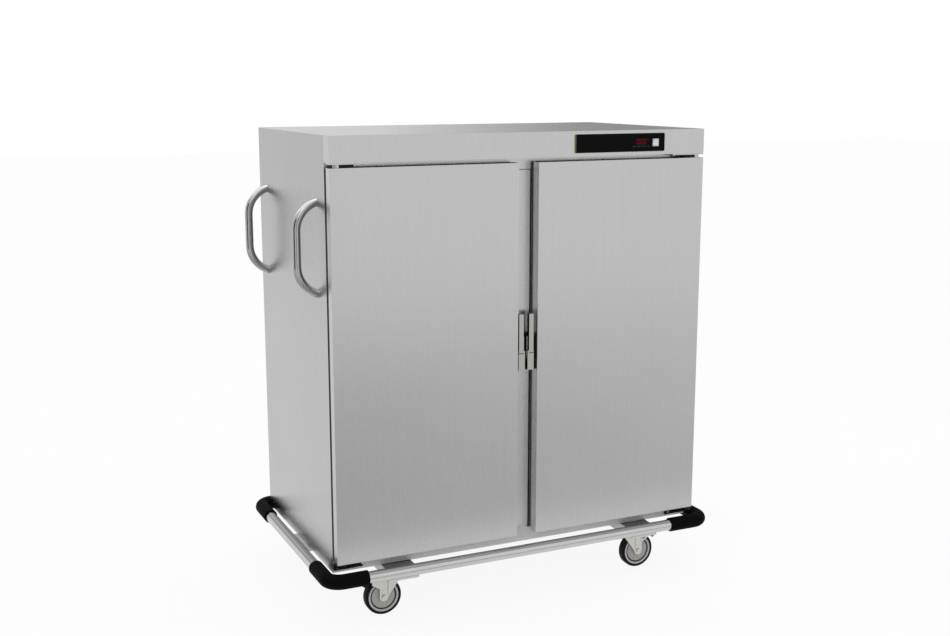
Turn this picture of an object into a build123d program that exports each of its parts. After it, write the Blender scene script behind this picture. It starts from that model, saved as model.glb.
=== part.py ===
from build123d import *
from math import asin, degrees, radians, sqrt, tan
import os

# Heated banquet cart, millimetres, +Z up, +X to the right as seen from the front.
# The doors face -Y. The origin is on the floor, under the middle of the whole cart.

# Cabinet
cabinet_width = 1500.0
cabinet_depth = 870.0
cabinet_height = 1555.0
ride_height = 205.0
outer_sheet = 1.2
frame_sheet = 1.5
liner_sheet = 1.0
door_stack = 55.0

# Front frame round the two door openings, and the heated chamber behind it
stile_width = 46.0
post_width = 124.0
sill_height = 80.0
head_height = 148.0
back_wall = 70.0
roof_insulation = 40.0

# Cover strip on the middle post
mullion_width = 84.0
mullion_sheet = 1.0
mullion_top_drop = 137.0
mullion_bottom_rise = 52.0

# Control fascia above the doors
fascia_height = 92.0
fascia_gap = 16.5
window_cut_margin = 4.0

# Doors
door_sill = 45.5
door_gap = 80.0
door_thickness = 42.0
door_sheet = 1.2
field_height = 6.0
field_margin = 24.0
gasket_width = 14.0
gasket_inset = 6.0
gasket_free_inset = 4.0
gasket_foot = 3.0
gasket_neck = 3.0
gasket_neck_width = 6.0
gasket_bulb_width = 11.0
gasket_clearance = 0.5

# Pivot hinges
hinge_inset = 28.0
hinge_set_back = 12.0
top_plate_length = 138.0
bottom_plate_length = 92.0
hinge_plate_thickness = 5.0
hinge_plate_side_gap = 2.0
hinge_plate_drop = 9.0
hinge_tab_height = 22.0
hinge_tab_thickness = 5.0
hinge_pin_radius = 6.0
hinge_pin_reach = 20.0
hinge_pin_clearance = 0.05
hinge_collar_radius = 11.5
hinge_collar_clearance = 0.5
hinge_bore_margin = 3.0
hinge_screw_inset = 14.0
screw_radius = 2.4
screw_clearance = 0.1
screw_head_radius = 5.0
screw_head_height = 2.5
screw_reach = 3.0

# Control panel, from the cabinet's right side and top; display, keys and switch from the panel's right end
panel_from_side = 180.0
panel_width = 383.0
panel_height = 68.0
panel_drop = 12.0
panel_thickness = 4.0
panel_corner = 5.0
display_from_end = 71.0
display_width = 56.0
display_height = 26.0
display_drop = 30.0
display_thickness = 2.0
display_recess = 0.4
key_count = 4
key_pitch = 21.3
key_row_shift = -4.8
key_width = 15.0
key_height = 7.0
key_drop = 57.0
key_proud = 0.3
key_depth = 8.0
key_clearance = 0.2
controller_gap = 1.2
controller_margin = 3.0
controller_depth = 38.0
switch_from_end = 27.0
switch_width = 26.0
switch_height = 28.0
switch_drop = 33.0
switch_wall = 1.5
switch_bezel_proud = 1.0
switch_depth = 32.0
rocker_throw = 20.0
rocker_clearance = 0.3
rocker_face = 4.0
rocker_back = 4.0
rocker_back_half = 8.0
rocker_pin_radius = 1.5
rocker_pin_clearance = 0.05

# Latches in the gap between the doors, measured from the middle plane outwards
latch_middle_gap = 5.5
latch_front = 11.0
latch_depth = 25.0
latch_base_width = 8.0
latch_base_set_back = 14.0
latch_base_depth = 26.0
latch_block_drop = 810.5
latch_base_rise = 66.5
latch_base_height = 128.0
latch_block_height = 63.0
latch_head_height = 63.0
latch_head_set_back = 9.0
latch_ear_height = 12.0
latch_front_wall = 3.0
latch_inner_cheek = 5.5
latch_outer_cheek = 1.0
latch_floor = 3.0
latch_rear_wall = 3.0
latch_tail_window = 14.0
lever_side_gap = 0.5
lever_thickness = 16.0
lever_pivot_rise = 5.0
lever_height = 144.0
lever_pivot_set_back = 5.0
lever_top_radius = 3.0
tail_side_gap = 3.0
tail_front = 1.5
tail_back = 9.0
tail_drop = 30.0
foot_reach = 24.0
foot_height = 15.0
latch_pin_radius = 3.0
latch_pin_clearance = 0.05
magnet_margin = 4.5
magnet_height = 29.0
magnet_floor = 2.0
magnet_gap = 0.5
strike_left = 5.0
strike_width = 30.0
strike_height = 72.0
strike_thickness = 3.0

# Racks and wire shelves
rack_thickness = 10.0
rack_wall_gap = 2.0
rack_post_width = 25.0
rack_set_back = 45.0
rack_back_gap = 38.5
rack_top_gap = 17.0
rack_first_level = 60.0
rack_pitch = 150.0
runner_width = 16.0
runner_sheet = 1.5
runner_flange = 12.0
shelf_every = 2
shelf_clearance = 2.0
shelf_rod_radius = 3.0
shelf_wire_radius = 1.6
shelf_wire_pitch = 38.0
shelf_corner = 14.0
wire_sink = 0.5

# Hot air unit under the chamber's roof, with its motor above the insulation
fan_cover_size = 400.0
fan_cover_height = 70.0
intake_rings = 3
intake_ring_step = 24.0
intake_ring_holes = 6
intake_hole_radius = 7.0
outlet_count = 5
outlet_length = 50.0
outlet_height = 14.0
outlet_pitch = 72.0
impeller_radius = 90.0
impeller_top_gap = 12.0
impeller_disc = 2.0
blade_count = 12
blade_height = 38.0
blade_length = 42.0
blade_sheet = 2.0
hub_radius = 14.0
shaft_radius = 5.0
shaft_clearance = 0.05
shaft_hole_radius = 12.0
shaft_in_motor = 25.0
motor_radius = 45.0
motor_height = 72.0
motor_flange = 150.0
motor_flange_thickness = 3.0
heater_ring_radius = 135.0
heater_rod_radius = 4.0
heater_drop = 34.0
heater_leg_spread = 30.0
heater_terminal = 12.0
heater_hole_margin = 0.5

# Chassis under the cabinet and bumper rail round it
member_width = 115.0
member_height = 35.0
member_wall = 3.0
member_inset = 242.0
rail_radius = 21.2
rail_wall = 1.5
rail_side_offset = 38.0
rail_end_offset = 31.0
rail_height = 202.5
rail_bend = 50.0
rail_seam = 1.0
sleeve_thickness = 6.0
sleeve_clearance = 0.05
sleeve_legs = 308.0
front_left_sleeve_leg = 140.0
front_right_sleeve_leg = 164.0
back_left_sleeve_leg = 136.0
back_right_sleeve_leg = 144.0

# Push handles
handle_radius = 15.0
handle_wall = 1.5
handle_stand_off = 75.0
handle_bend = 103.0
handle_turn = 80.0
handle_straight = 123.0
handle_drop = 392.5
front_handle_set_back = 147.0
back_handle_inset = 95.0

# Casters
wheel_radius = 70.0
tyre_width = 33.0
tyre_height = 11.0
tyre_shoulder = 5.0
rim_lip_height = 8.0
rim_lip_inset = 1.0
rim_groove_width = 5.5
rim_groove_inset = 9.0
rim_disc_inset = 4.0
hub_face_radius = 13.0
hub_gap = 0.5
axle_radius = 5.0
axle_clearance = 0.05
axle_head_radius = 9.0
axle_head_height = 5.0
caster_trail = 41.0
caster_inset = 95.0
plate_length = 105.0
plate_width = 85.0
plate_thickness = 3.5
plate_corner = 8.0
race_radius = 34.0
race_height = 8.0
kingpin_radius = 8.0
kingpin_clearance = 0.05
kingpin_nut_radius = 12.0
kingpin_nut_height = 5.0
swivel_gap = 0.5
fork_sheet = 3.0
fork_inner_gap = 38.0
fork_lead = 36.0
fork_guard_out = 46.0
fork_guard_drop = 37.0
fork_leg_radius = 17.5
fork_step_rise = 33.5
bolt_spacing_x = 80.0
bolt_spacing_y = 60.0
bolt_radius = 4.0
bolt_clearance = 0.5
bolt_head_radius = 6.5
bolt_head_height = 5.5
bolt_reach = 6.0

# Brake pedals on the front casters: distances out from the swivel axis and down from the crown's top
pedal_pivot_out = 72.0
pedal_pivot_drop = 15.0
pedal_pin_radius = 3.0
pedal_pin_clearance = 0.05
pedal_side_gap = 1.5
pedal_heel_out = 62.0
pedal_heel_drop = 8.0
pedal_heel_height = 8.0
pedal_knee_out = 90.0
pedal_knee_drop = 8.0
pedal_tip_out = 128.0
pedal_tip_drop = 16.0
pedal_tip_height = 8.0
pedal_shoe_out = 99.0
pedal_shoe_drop = 34.0
pedal_toe_out = 104.0
pedal_toe_drop = 38.0

# Mains inlet and vents in the back
inlet_from_side = 140.0
inlet_rise = 60.0
inlet_width = 50.0
inlet_height = 32.0
inlet_flange = 8.0
inlet_flange_thickness = 3.0
inlet_depth = 30.0
inlet_wall = 2.0
inlet_pin_count = 3
inlet_pin_spacing = 12.0
inlet_pin_radius = 2.0
inlet_pin_length = 14.0
inlet_pocket_margin = 1.0
vent_count = 9
vent_pitch = 30.0
vent_width = 6.0
vent_height = 50.0
vent_drop = 75.0

# Extra length by which a cut passes through a sheet
overcut = 1.0

# Planes that the pieces line up with
half_width = cabinet_width / 2
member_middle = half_width - member_inset
inside_x = half_width - outer_sheet
front_y = -cabinet_depth / 2
back_y = cabinet_depth / 2
back_sheet_y = back_y - outer_sheet
frame_y = front_y + door_stack
frame_back_y = frame_y + frame_sheet
base_z = ride_height
top_z = ride_height + cabinet_height
shell_top_z = top_z - outer_sheet
fascia_z = top_z - fascia_height
opening_x = (post_width / 2, half_width - stile_width)
opening_z = (base_z + sill_height, top_z - head_height)
chamber_back_y = back_y - back_wall
insulation_top_z = opening_z[1] + liner_sheet + roof_insulation
mullion_y = frame_y - mullion_sheet
door_x = (door_gap / 2, half_width)
door_y = (front_y, front_y + door_thickness)
door_z = (base_z + door_sill, fascia_z - fascia_gap)
hinge_x = half_width - hinge_inset
hinge_y = front_y + hinge_set_back
top_plate_z = (fascia_z - hinge_plate_thickness, fascia_z)
bottom_plate_z = (door_z[0] - hinge_plate_drop - hinge_plate_thickness, door_z[0] - hinge_plate_drop)
panel_y = front_y - panel_thickness
member_low_z = base_z - member_height
rail_x = half_width + rail_side_offset
rail_y = back_y + rail_end_offset
fan_y = (frame_back_y + chamber_back_y) / 2
heater_leg_y = fan_y + sqrt(heater_ring_radius**2 - (heater_leg_spread / 2) ** 2)
heater_z = opening_z[1] - heater_drop
inlet_x = (half_width - inlet_from_side - inlet_width, half_width - inlet_from_side)
inlet_z = (base_z + inlet_rise, base_z + inlet_rise + inlet_height)


def slab(x, y, z):
    """A box between a low and a high value along each axis."""
    middle = Pos((x[0] + x[1]) / 2, (y[0] + y[1]) / 2, (z[0] + z[1]) / 2)
    return middle * Box(x[1] - x[0], y[1] - y[0], z[1] - z[0])


def rod_x(x, y, z, radius):
    """A round rod along X, from x[0] to x[1]."""
    return Pos((x[0] + x[1]) / 2, y, z) * Rot(0, 90, 0) * Cylinder(radius, x[1] - x[0])


def rod_y(x, y, z, radius):
    """A round rod along Y, from y[0] to y[1]."""
    return Pos(x, (y[0] + y[1]) / 2, z) * Rot(90, 0, 0) * Cylinder(radius, y[1] - y[0])


def rod_z(x, y, z, radius):
    """A round rod along Z, from z[0] to z[1]."""
    return Pos(x, y, (z[0] + z[1]) / 2) * Cylinder(radius, z[1] - z[0])


def side_prism(outline, x):
    """A prism along X, from x[0] to x[1], on a face drawn in (y, z)."""
    return Pos(x[0], 0, 0) * extrude(Plane.YZ * outline, x[1] - x[0])


def front_prism(outline, y):
    """A prism along Y, from y[0] to y[1], on a face drawn in (x, z)."""
    return Pos(0, y[1], 0) * extrude(Plane.XZ * outline, y[1] - y[0])


def polygon(*points):
    return make_face(Polyline(*points, close=True))


def hexagon_rod(x, y, z, radius):
    """A hexagonal rod along Y, from y[0] to y[1]."""
    return front_prism(Pos(x, z) * RegularPolygon(radius, 6), y)


def tube(path, outer, inner):
    """A round tube along a path of straight runs and tangent arcs."""
    start = Plane(origin=path @ 0, z_dir=path % 0)
    return sweep(start * Circle(outer), path=path) - sweep(start * Circle(inner), path=path)


def grown(span, amount):
    """A span made longer by the same amount at both ends."""
    return (span[0] - amount, span[1] + amount)


def mirrored(shape):
    """The same shape on the other side of the cart's middle plane."""
    return mirror(shape, about=Plane.YZ)


def save(name, *shapes):
    """Write one sub-part, made of one or more separate solids."""
    solids = [solid for shape in shapes for solid in shape.solids()]
    export_step(solids[0] if len(solids) == 1 else Compound(solids), f"parts/{name}.step")


def save_pair(name, *shapes):
    """Write a sub-part of the right side, and its mirror image on the left."""
    save(f"{name}_right", *shapes)
    save(f"{name}_left", *[mirrored(shape) for shape in shapes])


# Cabinet shell
def side_panel():
    return slab((inside_x, half_width), (frame_y, back_y), (base_z, shell_top_z))


def top_panel():
    return slab((-half_width, half_width), (frame_y, back_y), (shell_top_z, top_z))


def base_panel():
    return slab((-inside_x, inside_x), (frame_back_y, back_sheet_y), (base_z, base_z + frame_sheet))


def back_panel():
    panel = slab((-inside_x, inside_x), (back_sheet_y, back_y), (base_z, shell_top_z))
    through = grown((back_sheet_y, back_y), overcut)
    vent_z = grown((top_z - vent_drop, top_z - vent_drop), vent_height / 2)
    for index in range(vent_count):
        middle = (index - (vent_count - 1) / 2) * vent_pitch
        panel -= slab(grown((middle, middle), vent_width / 2), through, vent_z)
    return panel - slab(inlet_x, through, inlet_z)


def front_frame():
    plate = slab((-inside_x, inside_x), (frame_y, frame_back_y), (base_z, shell_top_z))
    through = grown((frame_y, frame_back_y), overcut)
    opening = slab(opening_x, through, opening_z)
    plate = plate - opening - mirrored(opening)
    for x, z in tab_screws():
        hole = rod_y(x, through, z, screw_radius + screw_clearance)
        plate = plate - hole - mirrored(hole)
    return plate


def mullion_cover():
    half = mullion_width / 2
    height = (base_z + mullion_bottom_rise, top_z - mullion_top_drop)
    return slab((-half, half), (mullion_y, frame_y), height)


def roof_holes(z):
    """The holes in the chamber's roof for the fan shaft and for the heating element's two ends."""
    holes = [rod_z(0, fan_y, z, shaft_hole_radius)]
    for side in (-1, 1):
        x = side * heater_leg_spread / 2
        holes.append(rod_z(x, heater_leg_y, z, heater_rod_radius + heater_hole_margin))
    return holes


def inner_liner():
    side = opening_x[1]
    y = (frame_back_y, chamber_back_y)
    outer = slab(grown((-side, side), liner_sheet), (y[0], y[1] + liner_sheet), grown(opening_z, liner_sheet))
    liner = outer - slab((-side, side), (y[0] - overcut, y[1]), opening_z)
    roof_z = (opening_z[1], opening_z[1] + liner_sheet)
    for hole in roof_holes(grown(roof_z, overcut)):
        liner -= hole
    return liner


def body_insulation():
    side = opening_x[1]
    z = (base_z + frame_sheet, insulation_top_z)
    block = slab((-inside_x, inside_x), (frame_back_y, back_sheet_y), z)
    room_y = (frame_back_y - overcut, chamber_back_y + liner_sheet)
    wool = block - slab(grown((-side, side), liner_sheet), room_y, grown(opening_z, liner_sheet))
    for hole in roof_holes((opening_z[1], z[1] + overcut)):
        wool -= hole
    for x, tab_z in tab_screws():
        pocket_y = (frame_back_y - overcut, frame_back_y + screw_reach + overcut)
        pocket = rod_y(x, pocket_y, tab_z, screw_head_radius)
        wool = wool - pocket - mirrored(pocket)
    pocket_y = (back_sheet_y - inlet_depth - inlet_pocket_margin, back_y)
    return wool - slab(grown(inlet_x, inlet_pocket_margin), pocket_y, grown(inlet_z, inlet_pocket_margin))


# Racks and shelves
rack_wall_x = (opening_x[1] - rack_wall_gap - rack_thickness, opening_x[1] - rack_wall_gap)
rack_post_x = (opening_x[0] + rack_wall_gap, opening_x[0] + rack_wall_gap + rack_thickness)
rack_y = (frame_back_y + rack_set_back, chamber_back_y - rack_back_gap)
rack_z = (opening_z[0], opening_z[1] - fan_cover_height - rack_top_gap)
rack_levels = int((rack_z[1] - rack_z[0] - rack_first_level) / rack_pitch) + 1
shelf_depth = rack_y[1] - rack_y[0]
shelf_width = rack_wall_x[0] - rack_post_x[1] - 2 * (runner_sheet + shelf_clearance)
shelf_middle_x = (rack_wall_x[0] + rack_post_x[1]) / 2
shelf_middle_y = (rack_y[0] + rack_y[1]) / 2


def level_z(index):
    """The top face of one pair of runners."""
    return rack_z[0] + rack_first_level + index * rack_pitch


def rack(post_x, inward):
    """Three posts with angle runners; inward is the side that the runners face, -1 or 1."""
    middle = (rack_y[0] + rack_y[1] - rack_post_width) / 2
    starts = (rack_y[0], middle, rack_y[1] - rack_post_width)
    posts = [slab(post_x, (start, start + rack_post_width), rack_z) for start in starts]
    face = post_x[1] if inward > 0 else post_x[0]
    ledge_x = sorted((face, face + inward * runner_width))
    flange_x = sorted((face, face + inward * runner_sheet))
    runners = []
    for index in range(rack_levels):
        top = level_z(index)
        runners.append(slab(ledge_x, rack_y, (top - runner_sheet, top)))
        runners.append(slab(flange_x, rack_y, (top - runner_sheet, top - runner_sheet + runner_flange)))
    return posts[0] + [*posts[1:], *runners]


def wire_shelf():
    """A grid lying on z = 0: a rod bent round the rim, cross rods in it, and wires along Y on top."""
    half_w = shelf_width / 2 - shelf_rod_radius
    half_d = shelf_depth / 2 - shelf_rod_radius
    rim_path = RectangleRounded(2 * half_w, 2 * half_d, shelf_corner).face().outer_wire()
    rim_path = Pos(0, 0, shelf_rod_radius) * rim_path
    start = Plane(origin=rim_path @ 0, z_dir=rim_path % 0)
    rim = sweep(start * Circle(shelf_rod_radius), path=rim_path)
    rods = []
    for y in (-half_d / 3, half_d / 3):
        rods.append(rod_x((-half_w, half_w), y, shelf_rod_radius, shelf_rod_radius))
    wire_z = 2 * shelf_rod_radius + shelf_wire_radius - wire_sink
    gaps = int(2 * (half_w - shelf_corner) / shelf_wire_pitch)
    for index in range(gaps + 1):
        x = (index - gaps / 2) * shelf_wire_pitch
        rods.append(rod_y(x, (-half_d, half_d), wire_z, shelf_wire_radius))
    return rim + rods


def wire_shelves():
    grid = wire_shelf()
    places = []
    for side in (-1, 1):
        for index in range(0, rack_levels, shelf_every):
            places.append(Pos(side * shelf_middle_x, shelf_middle_y, level_z(index)))
    return [place * grid for place in places]


# Hot air unit
def fan_cover():
    half = fan_cover_size / 2
    x = (-half, half)
    y = (fan_y - half, fan_y + half)
    z = (opening_z[1] - fan_cover_height, opening_z[1])
    t = liner_sheet
    cover = slab(x, y, z) - slab(grown(x, -t), grown(y, -t), (z[0] + t, z[1] + overcut))
    floor_cut = (z[0] - overcut, z[0] + t + overcut)
    cover -= rod_z(0, fan_y, floor_cut, intake_hole_radius)
    for ring in range(1, intake_rings + 1):
        for place in PolarLocations(ring * intake_ring_step, ring * intake_ring_holes):
            spot = Pos(0, fan_y, z[0]) * place
            cover -= spot * Cylinder(intake_hole_radius, 2 * (t + overcut))
    slot_z = grown((z[0] + fan_cover_height / 2, z[0] + fan_cover_height / 2), outlet_height / 2)
    for index in range(outlet_count):
        middle = (index - (outlet_count - 1) / 2) * outlet_pitch
        span = grown((middle, middle), outlet_length / 2)
        cover -= slab(span, grown(y, overcut), slot_z)
        cover -= slab(grown(x, overcut), (fan_y + span[0], fan_y + span[1]), slot_z)
    return cover


shaft_top_z = insulation_top_z + motor_flange_thickness + shaft_in_motor


def fan_impeller():
    disc_z = (opening_z[1] - impeller_top_gap - impeller_disc, opening_z[1] - impeller_top_gap)
    blade_z = (disc_z[0] - blade_height, disc_z[0])
    wheel = rod_z(0, fan_y, disc_z, impeller_radius)
    wheel += rod_z(0, fan_y, (blade_z[0], disc_z[1]), hub_radius)
    wheel += rod_z(0, fan_y, (disc_z[1], shaft_top_z), shaft_radius)
    radial = (impeller_radius - blade_length, impeller_radius)
    blade = slab(radial, (-blade_sheet / 2, blade_sheet / 2), blade_z)
    blades = [Pos(0, fan_y, 0) * Rot(0, 0, index * 360 / blade_count) * blade for index in range(blade_count)]
    return wheel + blades


def fan_motor():
    half = motor_flange / 2
    flange_z = (insulation_top_z, insulation_top_z + motor_flange_thickness)
    flange = slab((-half, half), (fan_y - half, fan_y + half), flange_z)
    body = rod_z(0, fan_y, (flange_z[1], flange_z[1] + motor_height), motor_radius)
    bore_z = (flange_z[0] - overcut, shaft_top_z + swivel_gap)
    return flange + body - rod_z(0, fan_y, bore_z, shaft_radius + shaft_clearance)


def heating_element():
    """An almost closed ring whose two ends turn up through the roof."""
    gap = degrees(asin(heater_leg_spread / 2 / heater_ring_radius))
    arc = CenterArc((0, fan_y, heater_z), heater_ring_radius, 90 + gap, 360 - 2 * gap)
    start = Plane(origin=arc @ 0, z_dir=arc % 0)
    ring = sweep(start * Circle(heater_rod_radius), path=arc)
    parts = []
    for side in (-1, 1):
        x = side * heater_leg_spread / 2
        parts.append(Pos(x, heater_leg_y, heater_z) * Sphere(heater_rod_radius))
        leg_z = (heater_z, insulation_top_z + heater_terminal)
        parts.append(rod_z(x, heater_leg_y, leg_z, heater_rod_radius))
    return ring + parts


# Control fascia and what it carries
panel_end = half_width - panel_from_side
panel_x = (panel_end - panel_width, panel_end)
panel_z = (top_z - panel_drop - panel_height, top_z - panel_drop)
display_x = (panel_end - display_from_end - display_width, panel_end - display_from_end)
display_z = (top_z - display_drop - display_height, top_z - display_drop)
key_z = (top_z - key_drop - key_height, top_z - key_drop)
switch_x = (panel_end - switch_from_end - switch_width, panel_end - switch_from_end)
switch_z = (top_z - switch_drop - switch_height, top_z - switch_drop)
key_y = (panel_y - key_proud, panel_y - key_proud + key_depth)
controller_y = key_y[1] + controller_gap
rocker_y = panel_y - switch_bezel_proud + rocker_face
rocker_z = (switch_z[0] + switch_z[1]) / 2


def key_x(index):
    """The width of one touch key; the row sits under the display, shifted a little to the left."""
    row_middle = (display_x[0] + display_x[1]) / 2 + key_row_shift
    middle = row_middle + (index - (key_count - 1) / 2) * key_pitch
    return grown((middle, middle), key_width / 2)


def control_fascia():
    x = (-half_width, half_width)
    z = (fascia_z, top_z)
    shell = slab(x, (front_y, frame_y), z)
    shell -= slab(grown(x, -outer_sheet), (front_y + outer_sheet, frame_y + overcut), grown(z, -outer_sheet))
    window_x = (key_x(0)[0] - window_cut_margin, switch_x[1] + window_cut_margin)
    window_z = (key_z[0] - window_cut_margin, display_z[1] + window_cut_margin)
    shell -= slab(window_x, grown((front_y, front_y), outer_sheet + overcut), window_z)
    floor_cut = (fascia_z - overcut, fascia_z + outer_sheet + overcut)
    for x, y in plate_screws():
        hole = rod_z(x, y, floor_cut, screw_radius + screw_clearance)
        shell = shell - hole - mirrored(hole)
    return shell


def control_panel():
    middle = Pos((panel_x[0] + panel_x[1]) / 2, (panel_z[0] + panel_z[1]) / 2)
    outline = middle * RectangleRounded(panel_width, panel_height, panel_corner)
    panel = front_prism(outline, (panel_y, front_y))
    through = grown((panel_y, front_y), overcut)
    panel = panel - slab(display_x, through, display_z) - slab(switch_x, through, switch_z)
    for index in range(key_count):
        panel -= slab(grown(key_x(index), key_clearance), through, grown(key_z, key_clearance))
    return panel


def display_window():
    face = panel_y + display_recess
    return slab(display_x, (face, face + display_thickness), display_z)


def controller_module():
    """A housing behind the keys, with a raised block that carries the display window."""
    x = (key_x(0)[0] - controller_margin, key_x(key_count - 1)[1] + controller_margin)
    z = (key_z[0] - controller_margin, display_z[1] + controller_margin)
    housing = slab(x, (controller_y, controller_y + controller_depth), z)
    return housing + slab(display_x, (panel_y + display_recess + display_thickness, controller_y), display_z)


def switch_housing():
    """A rectangular tube through the panel, with the rocker's pin across it."""
    bezel_y = panel_y - switch_bezel_proud
    y = (bezel_y, bezel_y + switch_depth)
    room_y = (y[0] - overcut, y[1] - switch_wall)
    room = slab(grown(switch_x, -switch_wall), room_y, grown(switch_z, -switch_wall))
    pin = rod_x(grown(switch_x, -switch_wall / 2), rocker_y, rocker_z, rocker_pin_radius)
    return slab(switch_x, y, switch_z) - room + pin


def switch_rocker():
    """A rocker with a bent front, pressed at its lower half, inside a circle about its pin."""
    reach = switch_height / 2 - switch_wall - rocker_clearance
    lift = reach * tan(radians(rocker_throw))
    outline = polygon(
        (rocker_y - rocker_face, rocker_z - reach),
        (rocker_y - rocker_face, rocker_z),
        (rocker_y - rocker_face - lift, rocker_z + reach),
        (rocker_y, rocker_z + reach),
        (rocker_y + rocker_back, rocker_z + rocker_back_half),
        (rocker_y + rocker_back, rocker_z - rocker_back_half),
        (rocker_y, rocker_z - reach),
    )
    x = grown(switch_x, -switch_wall - rocker_clearance)
    body = side_prism(outline, x) & rod_x(x, rocker_y, rocker_z, reach)
    return body - rod_x(grown(x, overcut), rocker_y, rocker_z, rocker_pin_radius + rocker_pin_clearance)


# Doors
def door_pin_holes(radius, depth):
    """Cuts round both hinge pins, from the door's edges inwards by depth."""
    low = (door_z[0] - overcut, door_z[0] + depth)
    high = (door_z[1] - depth, door_z[1] + overcut)
    return rod_z(hinge_x, hinge_y, low, radius) + rod_z(hinge_x, hinge_y, high, radius)


def door_skin():
    room_y = (door_y[0] + door_sheet, door_y[1] + overcut)
    pan = slab(door_x, door_y, door_z) - slab(grown(door_x, -door_sheet), room_y, grown(door_z, -door_sheet))
    return pan - door_pin_holes(hinge_pin_radius + hinge_pin_clearance, 2 * door_sheet)


gasket_x = (door_x[0] + gasket_free_inset, hinge_x)
gasket_z = grown(door_z, -gasket_inset)
field_x = grown((gasket_x[0] + gasket_width, gasket_x[1] - gasket_width), -field_margin)
field_z = grown((gasket_z[0] + gasket_width, gasket_z[1] - gasket_width), -field_margin)


def door_liner():
    """The door's inner sheet, pressed out into a raised field inside the gasket."""
    plate_y = (door_y[1] - door_sheet, door_y[1])
    plate = slab(grown(door_x, -door_sheet), plate_y, grown(door_z, -door_sheet))
    field = slab(field_x, (plate_y[0], door_y[1] + field_height), field_z)
    room_y = (plate_y[0] - overcut, door_y[1] + field_height - door_sheet)
    return plate + field - slab(grown(field_x, -door_sheet), room_y, grown(field_z, -door_sheet))


def door_insulation():
    y = (door_y[0] + door_sheet, door_y[1] - door_sheet)
    wool = slab(grown(door_x, -door_sheet), y, grown(door_z, -door_sheet))
    field_y = (y[1], door_y[1] + field_height - door_sheet)
    wool += slab(grown(field_x, -door_sheet), field_y, grown(field_z, -door_sheet))
    depth = hinge_pin_reach + hinge_bore_margin
    return wool - door_pin_holes(hinge_pin_radius + hinge_bore_margin, depth)


def gasket_ring(width, y):
    """A rectangular ring of the given width, centred on the gasket's line."""
    shrink = (gasket_width - width) / 2
    x = grown(gasket_x, -shrink)
    z = grown(gasket_z, -shrink)
    return slab(x, y, z) - slab(grown(x, -width), grown(y, overcut), grown(z, -width))


def door_gasket():
    foot_y = (door_y[1], door_y[1] + gasket_foot)
    neck_y = (foot_y[1], foot_y[1] + gasket_neck)
    bulb_y = (neck_y[1], frame_y - gasket_clearance)
    foot = gasket_ring(gasket_width, foot_y)
    return foot + gasket_ring(gasket_neck_width, neck_y) + gasket_ring(gasket_bulb_width, bulb_y)


# Hinges
def plate_x(length):
    outer = half_width - hinge_plate_side_gap
    return (outer - length, outer)


def plate_screws():
    """Where the screws of a top hinge plate go up into the fascia, in (x, y)."""
    x = plate_x(top_plate_length)[0] + hinge_screw_inset
    return [(x, front_y + hinge_screw_inset), (x, frame_y - hinge_screw_inset)]


def tab_screws():
    """Where the screws of a bottom hinge plate's tab go into the front frame, in (x, z)."""
    z = bottom_plate_z[0] - hinge_tab_height / 2
    return [(x, z) for x in grown(plate_x(bottom_plate_length), -hinge_screw_inset)]


def top_hinge():
    """A plate under the fascia, with a collar and a pin that goes down into the door."""
    plate = slab(plate_x(top_plate_length), (front_y, frame_y), top_plate_z)
    collar_z = (door_z[1] + hinge_collar_clearance, top_plate_z[0])
    pin_z = (door_z[1] - hinge_pin_reach, collar_z[0])
    hinge = plate + rod_z(hinge_x, hinge_y, collar_z, hinge_collar_radius)
    hinge += rod_z(hinge_x, hinge_y, pin_z, hinge_pin_radius)
    for x, screw_y in plate_screws():
        hinge -= rod_z(x, screw_y, grown(top_plate_z, overcut), screw_radius + screw_clearance)
    return hinge


def bottom_hinge():
    """An angle screwed to the front frame, with a collar and a pin that goes up into the door."""
    x = plate_x(bottom_plate_length)
    plate = slab(x, (front_y, frame_y), bottom_plate_z)
    tab_z = (bottom_plate_z[0] - hinge_tab_height, bottom_plate_z[0])
    tab_y = (frame_y - hinge_tab_thickness, frame_y)
    collar_z = (bottom_plate_z[1], door_z[0] - hinge_collar_clearance)
    pin_z = (collar_z[1], door_z[0] + hinge_pin_reach)
    hinge = plate + slab(x, tab_y, tab_z)
    hinge += rod_z(hinge_x, hinge_y, collar_z, hinge_collar_radius)
    hinge += rod_z(hinge_x, hinge_y, pin_z, hinge_pin_radius)
    for screw_x, z in tab_screws():
        hinge -= rod_y(screw_x, grown(tab_y, overcut), z, screw_radius + screw_clearance)
    return hinge


def hinge_screws():
    screws = []
    for x, y in plate_screws():
        head_z = (top_plate_z[0] - screw_head_height, top_plate_z[0])
        shank_z = (head_z[1], fascia_z + outer_sheet + screw_reach)
        screws.append(rod_z(x, y, head_z, screw_head_radius) + rod_z(x, y, shank_z, screw_radius))
    for x, z in tab_screws():
        tab_face = frame_y - hinge_tab_thickness
        head_y = (tab_face - screw_head_height, tab_face)
        shank_y = (head_y[1], frame_back_y + screw_reach)
        screws.append(rod_y(x, head_y, z, screw_head_radius) + rod_y(x, shank_y, z, screw_radius))
    return screws


# Latches
latch_face_y = front_y + latch_front
latch_back_y = latch_face_y + latch_depth
latch_base_x = (door_x[0] - latch_base_width, door_x[0])
block_x = (latch_middle_gap, latch_base_x[0])
block_z = (top_z - latch_block_drop - latch_block_height, top_z - latch_block_drop)
latch_base_z = (block_z[1] + latch_base_rise - latch_base_height, block_z[1] + latch_base_rise)
head_z = (block_z[1], block_z[1] + latch_head_height)
lever_x = (block_x[0] + latch_inner_cheek + lever_side_gap, block_x[1] - latch_outer_cheek - lever_side_gap)
pivot_y = latch_face_y + lever_pivot_set_back
pivot_z = block_z[1] + lever_pivot_rise


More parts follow.
